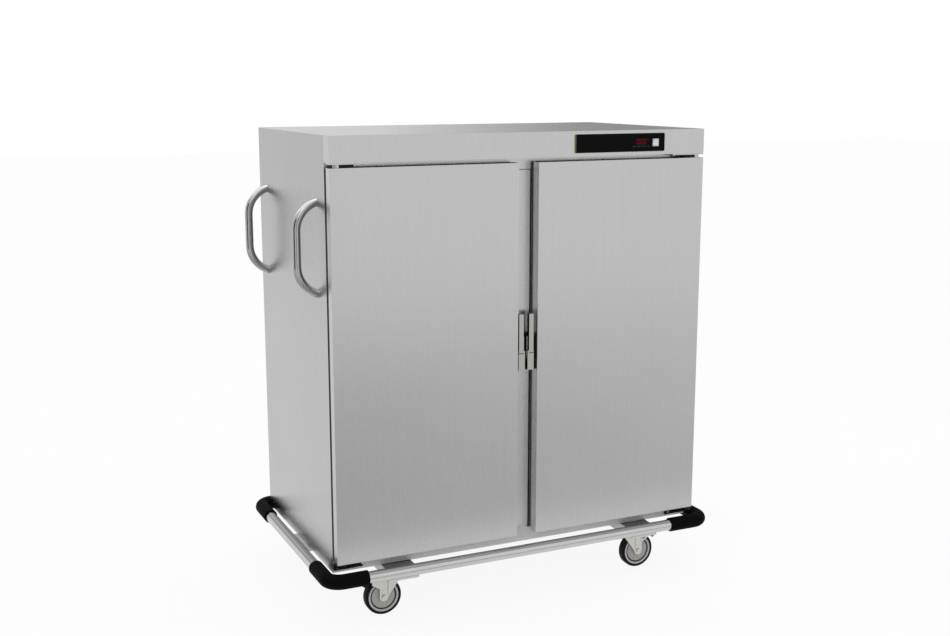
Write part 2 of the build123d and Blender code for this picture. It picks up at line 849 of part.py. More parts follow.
def latch_base():
    y = (front_y + latch_base_set_back, front_y + latch_base_set_back + latch_base_depth)
    return slab(latch_base_x, y, latch_base_z)


def latch_housing():
    """A block that is hollow and open at the back, and above it two cheeks that hold the pin."""
    room_x = (block_x[0] + latch_inner_cheek, block_x[1] - latch_outer_cheek)
    room_y = (latch_face_y + latch_front_wall, latch_back_y - latch_rear_wall)
    housing = slab(block_x, (latch_face_y, latch_back_y), block_z)
    housing -= slab(room_x, room_y, (block_z[0] + latch_floor, block_z[1] + overcut))
    window_z = (pivot_z - tail_drop - magnet_margin, block_z[1] + overcut)
    housing -= slab(room_x, (latch_back_y - latch_rear_wall - overcut, latch_back_y + overcut), window_z)
    head_y = (latch_face_y + latch_head_set_back, latch_back_y)
    ear_z = (block_z[1], pivot_z + latch_ear_height / 2)
    for cheek_x in ((block_x[0], room_x[0]), (room_x[1], block_x[1])):
        housing += slab(cheek_x, head_y, head_z)
        housing += slab(cheek_x, (latch_face_y, head_y[0]), ear_z)
    rear_z = (pivot_z + latch_tail_window, head_z[1])
    housing += slab(room_x, (latch_back_y - latch_rear_wall, latch_back_y), rear_z)
    return housing - latch_pin()


def latch_pin():
    return rod_x(block_x, pivot_y, pivot_z, latch_pin_radius)


def latch_magnet():
    """The magnet on the housing's rear wall, just short of the strike on the mullion."""
    x = (block_x[0] + magnet_margin, block_x[1] - magnet_floor)
    y = (latch_back_y, mullion_y - strike_thickness - magnet_gap)
    return slab(x, y, (block_z[0] + magnet_floor, block_z[0] + magnet_floor + magnet_height))


def latch_lever():
    """The grip above the pin, rounded about the pin, and the tail and foot below and behind it."""
    y = (latch_face_y, latch_face_y + lever_thickness)
    grip = slab(lever_x, y, (pivot_z, pivot_z + lever_height))
    grip = fillet(grip.edges().filter_by(Axis.X).group_by(Axis.Z)[-1], lever_top_radius)
    grip += rod_x(lever_x, pivot_y, pivot_z, lever_pivot_set_back)
    back = slab(lever_x, (pivot_y, y[1]), (pivot_z - lever_pivot_set_back, pivot_z))
    foot = polygon(
        (pivot_y - tail_front, pivot_z),
        (pivot_y - tail_front, pivot_z - lever_pivot_set_back),
        (pivot_y, pivot_z - tail_drop),
        (pivot_y + foot_reach, pivot_z - tail_drop + foot_height / 3),
        (pivot_y + foot_reach, pivot_z - foot_height),
        (pivot_y + tail_back, pivot_z - foot_height),
        (pivot_y + tail_back, pivot_z),
    )
    lever = grip + back + side_prism(foot, grown(lever_x, -tail_side_gap))
    return lever - rod_x(grown(lever_x, overcut), pivot_y, pivot_z, latch_pin_radius + latch_pin_clearance)


def latch_strike():
    x = (strike_left, strike_left + strike_width)
    return slab(x, (mullion_y - strike_thickness, mullion_y), (block_z[0], block_z[0] + strike_height))


# Chassis and bumper rail
def box_beam(x, y, z, axis):
    """A box section with open ends along X (axis 0) or Y (axis 1)."""
    inner = [grown(span, -member_wall) for span in (x, y, z)]
    inner[axis] = grown((x, y)[axis], overcut)
    return slab(x, y, z) - slab(*inner)


def rail_path():
    corners = [(rail_x, rail_y), (rail_x, -rail_y), (-rail_x, -rail_y), (-rail_x, rail_y)]
    points = [(rail_seam / 2, rail_y), *corners, (-rail_seam / 2, rail_y)]
    return FilletPolyline(*[(x, y, rail_height) for x, y in points], radius=rail_bend)


def bumper_rail():
    return tube(rail_path(), rail_radius, rail_radius - rail_wall)


def chassis_members():
    z = (member_low_z, base_z)
    side_x = grown((member_middle, member_middle), member_width / 2)
    cross_y = (-member_width / 2, member_width / 2)
    long_member = box_beam(side_x, (-rail_y, rail_y), z, 1)
    for y in (-rail_y, rail_y):
        long_member -= rod_x(grown(side_x, overcut), y, rail_height, rail_radius)
    for x, y, bolt_z in bolt_places():
        long_member -= rod_z(x, y, (bolt_z, bolt_z + member_wall + overcut), bolt_radius + bolt_clearance)
    outrigger = box_beam((side_x[1], rail_x), cross_y, z, 0)
    outrigger -= rod_y(rail_x, grown(cross_y, overcut), rail_height, rail_radius)
    middle = box_beam((-side_x[0], side_x[0]), cross_y, z, 0)
    long_member = long_member.solids().sort_by(SortBy.VOLUME)[-1]
    outrigger = outrigger.solids().sort_by(SortBy.VOLUME)[-1]
    return [long_member, mirrored(long_member), outrigger, mirrored(outrigger), middle]


def bumper_sleeve(side_x, side_y, front_leg):
    """A rubber sleeve round one corner of the rail; its two legs share one total length."""
    corner = (side_x * rail_x, side_y * rail_y, rail_height)
    start = (corner[0] - side_x * front_leg, corner[1], rail_height)
    end = (corner[0], corner[1] - side_y * (sleeve_legs - front_leg), rail_height)
    path = FilletPolyline(start, corner, end, radius=rail_bend)
    inner = rail_radius + sleeve_clearance
    return tube(path, rail_radius + sleeve_thickness, inner)


def bumper_sleeves():
    return [
        bumper_sleeve(-1, -1, front_left_sleeve_leg),
        bumper_sleeve(1, -1, front_right_sleeve_leg),
        bumper_sleeve(-1, 1, back_left_sleeve_leg),
        bumper_sleeve(1, 1, back_right_sleeve_leg),
    ]


# Push handles
def push_handle(y):
    """A bow tube that leaves the side panel on two arcs, cut flush with the panel."""
    centre_x = half_width + handle_stand_off - handle_bend
    half = handle_straight / 2
    low = CenterArc((centre_x, -half), handle_bend, -handle_turn, handle_turn)
    line = Line((centre_x + handle_bend, -half), (centre_x + handle_bend, half))
    high = CenterArc((centre_x, half), handle_bend, 0, handle_turn)
    upright = Plane(origin=(0, y, top_z - handle_drop), x_dir=(1, 0, 0), z_dir=(0, -1, 0))
    path = upright * Wire([low.edge(), line.edge(), high.edge()])
    bow = tube(path, handle_radius, handle_radius - handle_wall)
    return bow - slab((centre_x, half_width), grown((y, y), handle_bend), (base_z, top_z))


def push_handles():
    return [push_handle(y) for y in (front_y + front_handle_set_back, back_y - back_handle_inset)]


# Casters, drawn about a swivel axis at x = y = 0, with the wheel trailing towards +X
plate_z = (member_low_z - plate_thickness, member_low_z)
race_z = (plate_z[0] - race_height, plate_z[0])
crown_z = (race_z[0] - swivel_gap - fork_sheet, race_z[0] - swivel_gap)
fork_half = fork_inner_gap / 2
tyre_inner_radius = wheel_radius - tyre_height


def bolt_spots():
    """Where the four bolts of a caster are, about its swivel axis."""
    half_x = bolt_spacing_x / 2
    half_y = bolt_spacing_y / 2
    return [(x, y) for x in (-half_x, half_x) for y in (-half_y, half_y)]


def swivel_places():
    """The four swivel axes: (name, x, y, side), where side is the way that the wheel trails."""
    places = []
    for name, y in (("front", front_y + caster_inset), ("back", back_y - caster_inset)):
        places.append((f"{name}_left", -member_middle, y, -1))
        places.append((f"{name}_right", member_middle, y, 1))
    return places


def bolt_places():
    """Where the bolts of the two right-hand casters go up through the chassis, in (x, y, z)."""
    right = [(x, y) for _, x, y, side in swivel_places() if side > 0]
    return [(x + dx, y + dy, member_low_z - overcut) for x, y in right for dx, dy in bolt_spots()]


def caster_plate():
    plate = extrude(RectangleRounded(plate_length, plate_width, plate_corner), plate_thickness)
    plate = Pos(0, 0, plate_z[0]) * plate
    for x, y in bolt_spots():
        plate -= rod_z(x, y, grown(plate_z, overcut), bolt_radius + bolt_clearance)
    nut_z = (crown_z[0] - swivel_gap - kingpin_nut_height, crown_z[0] - swivel_gap)
    nut = Pos(0, 0, nut_z[0]) * extrude(RegularPolygon(kingpin_nut_radius, 6), kingpin_nut_height)
    return plate + rod_z(0, 0, race_z, race_radius) + rod_z(0, 0, (nut_z[0], race_z[0]), kingpin_radius) + nut


def plate_bolts():
    """The four bolts of one caster."""
    bolts = []
    for x, y in bolt_spots():
        head_low = plate_z[0] - bolt_head_height
        head = Pos(x, y, head_low) * extrude(RegularPolygon(bolt_head_radius, 6), bolt_head_height)
        shank_z = (plate_z[0], plate_z[1] + bolt_reach)
        bolts.append(head + rod_z(x, y, shank_z, bolt_radius))
    return bolts


def fork_leg():
    """One side plate of the fork: it slants on the inner edge and steps in on the outer one."""
    top = crown_z[1]
    axle = (caster_trail, wheel_radius)
    out = caster_trail + fork_guard_out
    narrow = caster_trail + fork_leg_radius
    outline = polygon(
        (-fork_lead, top),
        (out, top),
        (out, top - fork_guard_drop),
        (narrow, wheel_radius + fork_step_rise),
        (narrow, wheel_radius),
        (caster_trail - fork_leg_radius, wheel_radius),
        (-fork_lead, crown_z[0] - fork_sheet),
    )
    return outline + Pos(*axle) * Circle(fork_leg_radius)


def caster_fork(braked):
    y = (fork_half, fork_half + fork_sheet)
    leg = front_prism(fork_leg(), y)
    crown_x = (-fork_lead, caster_trail + fork_guard_out)
    fork = slab(crown_x, (-y[1], y[1]), crown_z) + leg + mirror(leg, about=Plane.XZ)
    fork -= rod_z(0, 0, grown(crown_z, overcut), kingpin_radius + kingpin_clearance)
    across = (-y[1] - overcut, y[1] + overcut)
    fork -= rod_y(caster_trail, across, wheel_radius, axle_radius + axle_clearance)
    if braked:
        fork -= rod_y(pedal_pivot_out, across, crown_z[1] - pedal_pivot_drop, pedal_pin_radius)
    return fork


def axle_bolt():
    face = fork_half + fork_sheet
    head = hexagon_rod(caster_trail, (face, face + axle_head_height), wheel_radius, axle_head_radius)
    return rod_y(caster_trail, (-face, face), wheel_radius, axle_radius) + head + mirror(head, about=Plane.XZ)


def pedal_pin():
    face = fork_half + fork_sheet
    return rod_y(pedal_pivot_out, (-face, face), crown_z[1] - pedal_pivot_drop, pedal_pin_radius)


def about_axle(profile):
    """A ring turned about the axle, on a closed outline of (radius, y) points."""
    section = Plane.XY * polygon(*profile)
    return Pos(caster_trail, 0, wheel_radius) * revolve(section, Axis.Y)


def caster_wheel():
    """The rim: a long hub, a disc, a groove and a lip on each side."""
    bore = axle_radius + axle_clearance
    hub = fork_half - hub_gap
    disc = tyre_width / 2 - rim_disc_inset
    groove = tyre_width / 2 - rim_groove_inset
    lip = tyre_width / 2 - rim_lip_inset
    lip_inner = tyre_inner_radius - rim_lip_height
    groove_inner = lip_inner - rim_groove_width
    right = [
        (bore, hub),
        (hub_face_radius, hub),
        (hub_face_radius, disc),
        (groove_inner, disc),
        (groove_inner, groove),
        (lip_inner, groove),
        (lip_inner, lip),
        (tyre_inner_radius, lip),
    ]
    left = [(radius, -y) for radius, y in reversed(right)]
    return about_axle([*right, *left])


def caster_tyre():
    tyre = Cylinder(wheel_radius, tyre_width)
    tyre = fillet(tyre.edges(), tyre_shoulder) - Cylinder(tyre_inner_radius, tyre_width + overcut)
    return Pos(caster_trail, 0, wheel_radius) * Rot(90, 0, 0) * tyre


def brake_pedal():
    top = crown_z[1]
    outline = polygon(
        (pedal_heel_out, top - pedal_heel_drop),
        (pedal_knee_out, top - pedal_knee_drop),
        (pedal_tip_out, top - pedal_tip_drop),
        (pedal_tip_out, top - pedal_tip_drop - pedal_tip_height),
        (pedal_toe_out, top - pedal_toe_drop),
        (pedal_shoe_out, top - pedal_shoe_drop),
        (pedal_heel_out, top - pedal_heel_drop - pedal_heel_height),
    )
    half = fork_half - pedal_side_gap
    pedal = front_prism(outline, (-half, half))
    bore = pedal_pin_radius + pedal_pin_clearance
    return pedal - rod_y(pedal_pivot_out, grown((-half, half), overcut), top - pedal_pivot_drop, bore)


# Mains inlet
def power_inlet():
    """A recessed socket with a flange on the back panel and three contact pins."""
    flange_y = (back_y, back_y + inlet_flange_thickness)
    well_y = (back_sheet_y - inlet_depth, back_y)
    inlet = slab(inlet_x, well_y, inlet_z)
    inlet += slab(grown(inlet_x, inlet_flange), flange_y, grown(inlet_z, inlet_flange))
    room_y = (well_y[0] + inlet_wall, flange_y[1] + overcut)
    inlet -= slab(grown(inlet_x, -inlet_wall), room_y, grown(inlet_z, -inlet_wall))
    for index in range(inlet_pin_count):
        x = (inlet_x[0] + inlet_x[1]) / 2 + (index - (inlet_pin_count - 1) / 2) * inlet_pin_spacing
        pin_y = (room_y[0] - inlet_wall / 2, room_y[0] + inlet_pin_length)
        inlet += rod_y(x, pin_y, (inlet_z[0] + inlet_z[1]) / 2, inlet_pin_radius)
    return inlet


def save_cabinet():
    save_pair("side_panel", side_panel())
    save("top_panel", top_panel())
    save("base_panel", base_panel())
    save("back_panel", back_panel())
    save("front_frame", front_frame())
    save("mullion_cover", mullion_cover())
    save("inner_liner", inner_liner())
    save("body_insulation", body_insulation())
    racks = [rack(rack_wall_x, -1), rack(rack_post_x, 1)]
    save("shelf_racks", *racks, *[mirrored(frame) for frame in racks])
    save("wire_shelves", *wire_shelves())
    save("fan_cover", fan_cover())
    save("fan_impeller", fan_impeller())
    save("fan_motor", fan_motor())
    save("heating_element", heating_element())
    save("power_inlet", power_inlet())


def save_controls():
    save("control_fascia", control_fascia())
    save("control_panel", control_panel())
    save("display_window", display_window())
    save("controller_module", controller_module())
    save("switch_housing", switch_housing())
    save("switch_rocker", switch_rocker())
    for index in range(key_count):
        save(f"touch_key_{index + 1}", slab(key_x(index), key_y, key_z))


def save_doors():
    save_pair("door_skin", door_skin())
    save_pair("door_liner", door_liner())
    save_pair("door_insulation", door_insulation())
    save_pair("door_gasket", door_gasket())
    hinges = [top_hinge(), bottom_hinge()]
    save("hinge_plates", *hinges, *[mirrored(hinge) for hinge in hinges])
    save_pair("latch_body", latch_base(), latch_housing(), latch_pin(), latch_magnet())
    save_pair("latch_lever", latch_lever())
    save("latch_strikes", latch_strike(), mirrored(latch_strike()))


def save_chassis():
    save("chassis_members", *chassis_members())
    save("bumper_rail", bumper_rail())
    save("bumper_sleeves", *bumper_sleeves())
    handles = push_handles()
    save("push_handles", *handles, *[mirrored(handle) for handle in handles])
    screws = hinge_screws()
    fasteners = [*screws, *[mirrored(screw) for screw in screws]]
    plates = []
    for name, x, y, side in swivel_places():
        turn = Pos(x, y, 0) * Rot(0, 0, 0 if side > 0 else 180)
        braked = name.startswith("front")
        pins = [axle_bolt(), pedal_pin()] if braked else [axle_bolt()]
        save(f"caster_fork_{name}", *[turn * shape for shape in (caster_fork(braked), *pins)])
        save(f"caster_wheel_{name}", turn * caster_wheel())
        save(f"caster_tyre_{name}", turn * caster_tyre())
        if braked:
            save(f"brake_pedal_{name}", turn * brake_pedal())
        plates.append(turn * caster_plate())
        fasteners.extend(turn * bolt for bolt in plate_bolts())
    save("caster_plates", *plates)
    save("fasteners", *fasteners)


os.makedirs("parts", exist_ok=True)
save_cabinet()
save_controls()
save_doors()
save_chassis()
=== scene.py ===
import math

import bmesh
import bpy
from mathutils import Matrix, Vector


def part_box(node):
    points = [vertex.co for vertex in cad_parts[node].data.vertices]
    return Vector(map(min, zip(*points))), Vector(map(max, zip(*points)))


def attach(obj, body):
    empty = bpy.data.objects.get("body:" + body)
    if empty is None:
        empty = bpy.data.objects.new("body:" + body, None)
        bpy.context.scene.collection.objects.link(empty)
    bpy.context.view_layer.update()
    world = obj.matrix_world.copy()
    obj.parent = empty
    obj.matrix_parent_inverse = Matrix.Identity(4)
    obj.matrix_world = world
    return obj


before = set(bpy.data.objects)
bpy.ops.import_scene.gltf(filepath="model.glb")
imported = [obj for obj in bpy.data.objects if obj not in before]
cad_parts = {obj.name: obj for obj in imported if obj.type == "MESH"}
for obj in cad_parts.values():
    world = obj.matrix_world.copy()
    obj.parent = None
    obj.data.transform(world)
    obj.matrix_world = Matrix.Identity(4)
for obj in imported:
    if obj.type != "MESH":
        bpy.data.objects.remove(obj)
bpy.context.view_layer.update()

CABINET = "cabinet"
SIDES = ("left", "right")
CORNERS = ("front_left", "front_right", "back_left", "back_right")
BRAKED_CORNERS = CORNERS[:2]
KEY_NUMBERS = range(1, 5)
X, Y, Z = range(3)


# Camera at the photograph's place, found from the cabinet's edges
CAMERA_PLACE = (-2.0579, -4.4003, 1.9349)
CAMERA_TILT = (79.223, 0.0, -24.939)
CAMERA_LENS = 46.99
CAMERA_SENSOR = 36.0


def make_camera():
    data = bpy.data.cameras.new("camera")
    data.lens = CAMERA_LENS
    data.sensor_width = CAMERA_SENSOR
    camera = bpy.data.objects.new("camera", data)
    camera.location = CAMERA_PLACE
    camera.rotation_euler = [math.radians(angle) for angle in CAMERA_TILT]
    bpy.context.collection.objects.link(camera)
    bpy.context.scene.camera = camera


# Node helpers for the materials
BRUSHING_LEAN = 0.01


class Graph:
    """A material's node tree with short calls for the nodes used here."""

    def __init__(self, name):
        self.material = bpy.data.materials.new(name)
        self.material.use_nodes = True
        self.tree = self.material.node_tree
        self.shader = self.tree.nodes["Principled BSDF"]

    def node(self, kind, **values):
        made = self.tree.nodes.new(kind)
        for key, value in values.items():
            setattr(made, key, value)
        return made

    def link(self, source, target):
        self.tree.links.new(source, target)

    def set(self, name, value):
        self.shader.inputs[name].default_value = value

    def vary(self, name, value):
        self.link(value, self.shader.inputs[name])

    def show(self, shader):
        """Another shader than the standard one on the surface."""
        self.link(shader.outputs[0], self.tree.nodes["Material Output"].inputs["Surface"])

    def noise(self, scale, stretch=(1, 1, 1), detail=2.0, roughness=0.5):
        """A noise in the model's own space; stretch multiplies the frequency along each axis."""
        place = self.node("ShaderNodeTexCoord")
        mapping = self.node("ShaderNodeMapping")
        mapping.inputs["Scale"].default_value = stretch
        texture = self.node("ShaderNodeTexNoise")
        texture.inputs["Scale"].default_value = scale
        texture.inputs["Detail"].default_value = detail
        texture.inputs["Roughness"].default_value = roughness
        self.link(place.outputs["Object"], mapping.inputs["Vector"])
        self.link(mapping.outputs["Vector"], texture.inputs["Vector"])
        return texture.outputs["Fac"]

    def spread(self, value, low, high, start=0.3, end=0.7):
        """A value mapped from start..end to low..high."""
        made = self.node("ShaderNodeMapRange")
        for key, number in (("From Min", start), ("From Max", end), ("To Min", low), ("To Max", high)):
            made.inputs[key].default_value = number
        self.link(value, made.inputs["Value"])
        return made.outputs["Result"]

    def math(self, operation, first, second):
        made = self.node("ShaderNodeMath", operation=operation)
        for index, value in enumerate((first, second)):
            if isinstance(value, (int, float)):
                made.inputs[index].default_value = value
            else:
                self.link(value, made.inputs[index])
        return made.outputs[0]

    def flipped(self, value):
        """0 for 1 and 1 for 0."""
        return self.math("SUBTRACT", 1.0, value)

    def coordinate(self, space, axis):
        """One part of the point or the normal in the piece's own space."""
        place = self.node("ShaderNodeTexCoord")
        parts = self.node("ShaderNodeSeparateXYZ")
        self.link(place.outputs[space], parts.inputs[0])
        return parts.outputs[axis]

    def beyond(self, space, axis, limit, size_only=False):
        """1 where the point or normal goes past a limit along an axis, else 0."""
        value = self.coordinate(space, axis)
        if size_only:
            value = self.math("ABSOLUTE", value, 0.0)
        return self.math("GREATER_THAN", value, limit)

    def mixed(self, factor, first, second):
        """The first colour where the factor is 0 and the second where it is 1."""
        made = self.node("ShaderNodeMix", data_type="RGBA")
        self.link(factor, made.inputs["Factor"])
        for key, color in (("A", first), ("B", second)):
            if isinstance(color, tuple):
                made.inputs[key].default_value = (*color, 1.0)
            else:
                self.link(color, made.inputs[key])
        return made.outputs["Result"]

    def tint(self, color, factor):
        """The colour multiplied by a grey factor that varies over the surface."""
        made = self.node("ShaderNodeVectorMath", operation="SCALE")
        if isinstance(color, tuple):
            made.inputs[0].default_value = color
        else:
            self.link(color, made.inputs[0])
        self.link(factor, made.inputs["Scale"])
        self.vary("Base Color", made.outputs[0])

    def bump(self, height, distance, strength):
        made = self.node("ShaderNodeBump")
        made.inputs["Distance"].default_value = distance
        made.inputs["Strength"].default_value = strength
        self.link(height, made.inputs["Height"])
        self.vary("Normal", made.outputs["Normal"])

    def brush_along(self, direction):
        """Gloss spread across the brushing direction, which leans a little so that no face lies square to it."""
        geometry = self.node("ShaderNodeNewGeometry")
        cross = self.node("ShaderNodeVectorMath", operation="CROSS_PRODUCT")
        cross.inputs[1].default_value = [part + BRUSHING_LEAN for part in direction]
        self.link(geometry.outputs["True Normal"], cross.inputs[0])
        self.vary("Tangent", cross.outputs[0])


# Limits of the finishes, in metres and in parts of a normal
FACING = 0.75
LATCH_FACING = 0.6
HINGE_EDGE_FROM = 0.3
MEMBER_REACH = 0.5655
SIDE_SHADE_HEIGHTS = (1.0, 1.7)
GROOVE_DEPTH = 0.0115
DISC_DEPTH = 0.0140
LEVER_BELOW_BLOCK_TOP = 0.025
LATCH_BLOCK_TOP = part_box("latch_lever_left")[0][2] + LEVER_BELOW_BLOCK_TOP

# Brushed sheet: noise frequencies along and across the grain, and how far its tone, gloss and relief vary
GRAIN = (6, 420)
BANDS = (2.5, 60)
CLOUD_SCALE = 2.6
STREAK_CONTRAST = 0.004
BROAD_CONTRAST = 0.01
STREAK_GLOSS = 0.02
GRAIN_RELIEF = 0.00001
BRUSHED_SPREAD = 0.5
# Painted light: how much paler the steel is below the satin height
SATIN_PAINTED_LIGHT = 0.22
SATIN_ROUGHNESS = 0.2
SATIN_MATT = 0.6


def grey(level):
    """A linear colour for an sRGB grey level of 0 to 255."""
    share = level / 255
    value = share / 12.92 if share <= 0.04045 else ((share + 0.055) / 1.055) ** 2.4
    return (value, value, value)


def brushed_steel(name, level, along, roughness=0.27, painted_light_side_level=None, painted_shade_top_level=None, satin_below=None,
                  painted_side_shade=None):
    """Brushed sheet steel: fine streaks along one axis, broad bands and faint cloudy smudges.

    painted_light_side_level is a paler grey for side faces near the cart's middle: painted light.
    painted_shade_top_level is a darker grey for the tops between the long members' outer faces: painted shade. Below
    satin_below the steel is more matt, and paler by a painted light. painted_side_shade is the share of the tone that
    is left at the top of the side faces: the rest is taken off there as painted shade.
    """
    graph = Graph(name)
    graph.set("Metallic", 1.0)
    fine, broad = [tuple(pair[0] if axis else pair[1] for axis in along) for pair in (GRAIN, BANDS)]
    streaks = graph.noise(1.0, fine, detail=3.0, roughness=0.6)
    bands = graph.noise(1.0, broad, detail=2.0)
    clouds = graph.noise(CLOUD_SCALE, detail=3.0)
    shade = graph.math("ADD", graph.spread(streaks, 1 - STREAK_CONTRAST, 1 + STREAK_CONTRAST),
                       graph.spread(bands, -BROAD_CONTRAST, BROAD_CONTRAST))
    rough = graph.math("ADD", graph.spread(streaks, roughness - STREAK_GLOSS, roughness + STREAK_GLOSS),
                       graph.spread(clouds, -0.015, 0.02))
    color = grey(level)
    # Painted light: side faces near the cart's middle take a paler grey.
    if painted_light_side_level:
        outer = graph.beyond("Object", X, HINGE_EDGE_FROM, size_only=True)
        painted_side_color = graph.mixed(outer, grey(painted_light_side_level), grey(level))
        color = graph.mixed(graph.beyond("Normal", X, FACING, size_only=True), color, painted_side_color)
    # Painted shade: the tops between the long members' outer faces take a darker grey.
    if painted_shade_top_level:
        inner = graph.flipped(graph.beyond("Object", X, MEMBER_REACH, size_only=True))
        painted_shade_on_top = graph.math("MULTIPLY", graph.beyond("Normal", Z, FACING), inner)
        color = graph.mixed(painted_shade_on_top, color, grey(painted_shade_top_level))
    # Painted shade: side faces grow darker towards the top.
    if painted_side_shade:
        painted_shade_fall = graph.spread(graph.coordinate("Object", Z), 0.0, 1 - painted_side_shade, *SIDE_SHADE_HEIGHTS)
        on_side = graph.beyond("Normal", X, FACING, size_only=True)
        shade = graph.math("SUBTRACT", shade, graph.math("MULTIPLY", painted_shade_fall, on_side))
    # Below the satin height the steel is more matt, and paler by a painted light.
    if satin_below:
        below = graph.flipped(graph.beyond("Object", Z, satin_below))
        shade = graph.math("ADD", shade, graph.math("MULTIPLY", below, SATIN_PAINTED_LIGHT))
        rough = graph.math("ADD", rough, graph.math("MULTIPLY", below, SATIN_ROUGHNESS))
        graph.vary("Metallic", graph.flipped(graph.math("MULTIPLY", below, SATIN_MATT)))
    graph.tint(color, graph.math("ADD", shade, graph.spread(clouds, -BROAD_CONTRAST, BROAD_CONTRAST)))
    graph.vary("Roughness", rough)
    graph.bump(streaks, GRAIN_RELIEF, 0.15)
    graph.set("Anisotropic", BRUSHED_SPREAD)
    graph.brush_along(along)
    return graph.material


def plain_metal(name, color, roughness, scale=90.0, mottling=0.06, metallic=1.0):
    """Plated or cast metal with a fine mottle in its tone and gloss."""
    graph = Graph(name)
    graph.set("Metallic", metallic)
    mottle = graph.noise(scale, detail=4.0, roughness=0.6)
    graph.tint(color, graph.spread(mottle, 1 - mottling, 1 + mottling))
    graph.vary("Roughness", graph.spread(mottle, roughness - 0.05, roughness + 0.06))
    graph.bump(mottle, 0.00005, 0.3)
    return graph.material


def tube_metal(name, level, stops, roughness):
    """Drawn tube whose tone changes round it in painted bands of reflection and highlight;
    each stop is a height on the tube's round, -1 to 1, and a share.
    """
    graph = Graph(name)
    graph.set("Metallic", 1.0)
    grain = graph.noise(30.0, detail=4.0, roughness=0.6)
    ramp = graph.node("ShaderNodeValToRGB")
    ends = list(ramp.color_ramp.elements)
    for index, (height, share) in enumerate(stops):
        stop = ends[index] if index < len(ends) else ramp.color_ramp.elements.new(0.999)
        stop.position = (height + 1) / 2
        stop.color = (share / 2, share / 2, share / 2, 1.0)
    graph.link(graph.spread(graph.coordinate("Normal", Z), 0.0, 1.0, -1.0, 1.0), ramp.inputs["Fac"])
    graph.tint(grey(level), graph.math("MULTIPLY", ramp.outputs["Color"], graph.spread(grain, 1.96, 2.04)))
    graph.vary("Roughness", graph.spread(grain, roughness - 0.04, roughness + 0.04))
    graph.bump(grain, 0.00005, 0.3)
    return graph.material


def hinge_metal(name, level, dark, painted_shade_below):
    """Satin plate, bright at the top of the doors; below a height it is black and not metallic, as painted shade."""
    graph = Graph(name)
    grain = graph.noise(1.0, (16, 240, 240), detail=3.0)
    above = graph.beyond("Object", Z, painted_shade_below)
    graph.tint(graph.mixed(above, dark, grey(level)), graph.spread(grain, 0.95, 1.05))
    graph.vary("Metallic", above)
    graph.vary("Roughness", graph.spread(grain, 0.28, 0.38))
    graph.set("Specular IOR Level", 0.2)
    graph.bump(grain, 0.00004, 0.3)
    return graph.material


def latch_metal(name, black_from):
    """Satin plated fronts. All other faces are black: painted shade on the plated parts. Beyond a distance from the
    cart's middle the fronts are black too, as the black base on the latch bodies and as painted shade along the
    levers' outer edge, apart from the stretch beside the left latch's block."""
    graph = Graph(name)
    mottle = graph.noise(60.0, (1, 1, 0.3), detail=4.0)
    front = graph.beyond("Normal", Y, LATCH_FACING, size_only=True)
    left = graph.flipped(graph.beyond("Object", X, 0.0))
    beside_block = graph.math("MULTIPLY", left, graph.flipped(graph.beyond("Object", Z, LATCH_BLOCK_TOP)))
    # Black beyond a distance: the black base on the latch bodies, painted shade along the outer edge of the levers.
    base = graph.beyond("Object", X, black_from, size_only=True)
    base = graph.math("MULTIPLY", base, graph.flipped(beside_block))
    bright = graph.math("MULTIPLY", front, graph.flipped(base))
    graph.tint(graph.mixed(bright, LATCH_BLACK_AND_SHADE, LATCH_PLATING), graph.spread(mottle, 0.96, 1.04))
    graph.vary("Metallic", bright)
    graph.vary("Roughness", graph.spread(mottle, 0.28, 0.36))
    graph.set("Specular IOR Level", 0.1)
    graph.bump(mottle, 0.00004, 0.3)
    return graph.material


def wheel_plastic(name, disc, lip, groove):
    """Moulded rim with a paler lip and a groove that is near-black as painted shade, told apart by their depth from
    the wheel's middle.
    """
    graph = Graph(name)
    grain = graph.noise(300.0, detail=3.0)
    low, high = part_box("caster_wheel_back_left")
    middle = (low[1] + high[1]) / 2

    def within(reach):
        return graph.math("SUBTRACT", graph.beyond("Object", Y, middle - reach, size_only=True),
                          graph.beyond("Object", Y, middle + reach, size_only=True))

    color = graph.mixed(within(DISC_DEPTH), lip, disc)
    graph.tint(graph.mixed(within(GROOVE_DEPTH), color, groove), graph.spread(grain, 0.95, 1.05))
    graph.vary("Roughness", graph.spread(grain, 0.38, 0.48))
    graph.set("Specular IOR Level", 0.3)
    graph.bump(grain, 0.00004, 0.3)
    return graph.material


def gasket_rubber(name, inner, outer):
    """Black rubber, a little greyer along the gap between the doors and darker along the hinge edges, where the
    darker tone is painted shade of the gap.
    """
    graph = Graph(name)
    clouds = graph.noise(12.0, detail=3.0)
    shade_on_hinge_edge = graph.beyond("Object", X, HINGE_EDGE_FROM, size_only=True)
    graph.tint(graph.mixed(shade_on_hinge_edge, inner, outer), graph.spread(clouds, 0.9, 1.1))
    graph.vary("Roughness", graph.spread(clouds, 0.55, 0.65))
    graph.set("Specular IOR Level", 0.1)
    graph.bump(graph.noise(700.0), 0.00005, 0.4)
    return graph.material


def moulded(name, color, roughness, grain=700.0, depth=0.00006, gloss=0.1):
    """Moulded plastic or rubber: a fine grain and a slightly uneven gloss."""
    graph = Graph(name)
    grain_noise = graph.noise(grain, detail=2.0)
    clouds = graph.noise(12.0, detail=3.0)
    graph.tint(color, graph.spread(clouds, 0.88, 1.12))
    graph.vary("Roughness", graph.spread(clouds, roughness - 0.06, roughness + 0.06))
    graph.set("Specular IOR Level", gloss)
    graph.bump(grain_noise, depth, 0.5)
    return graph.material


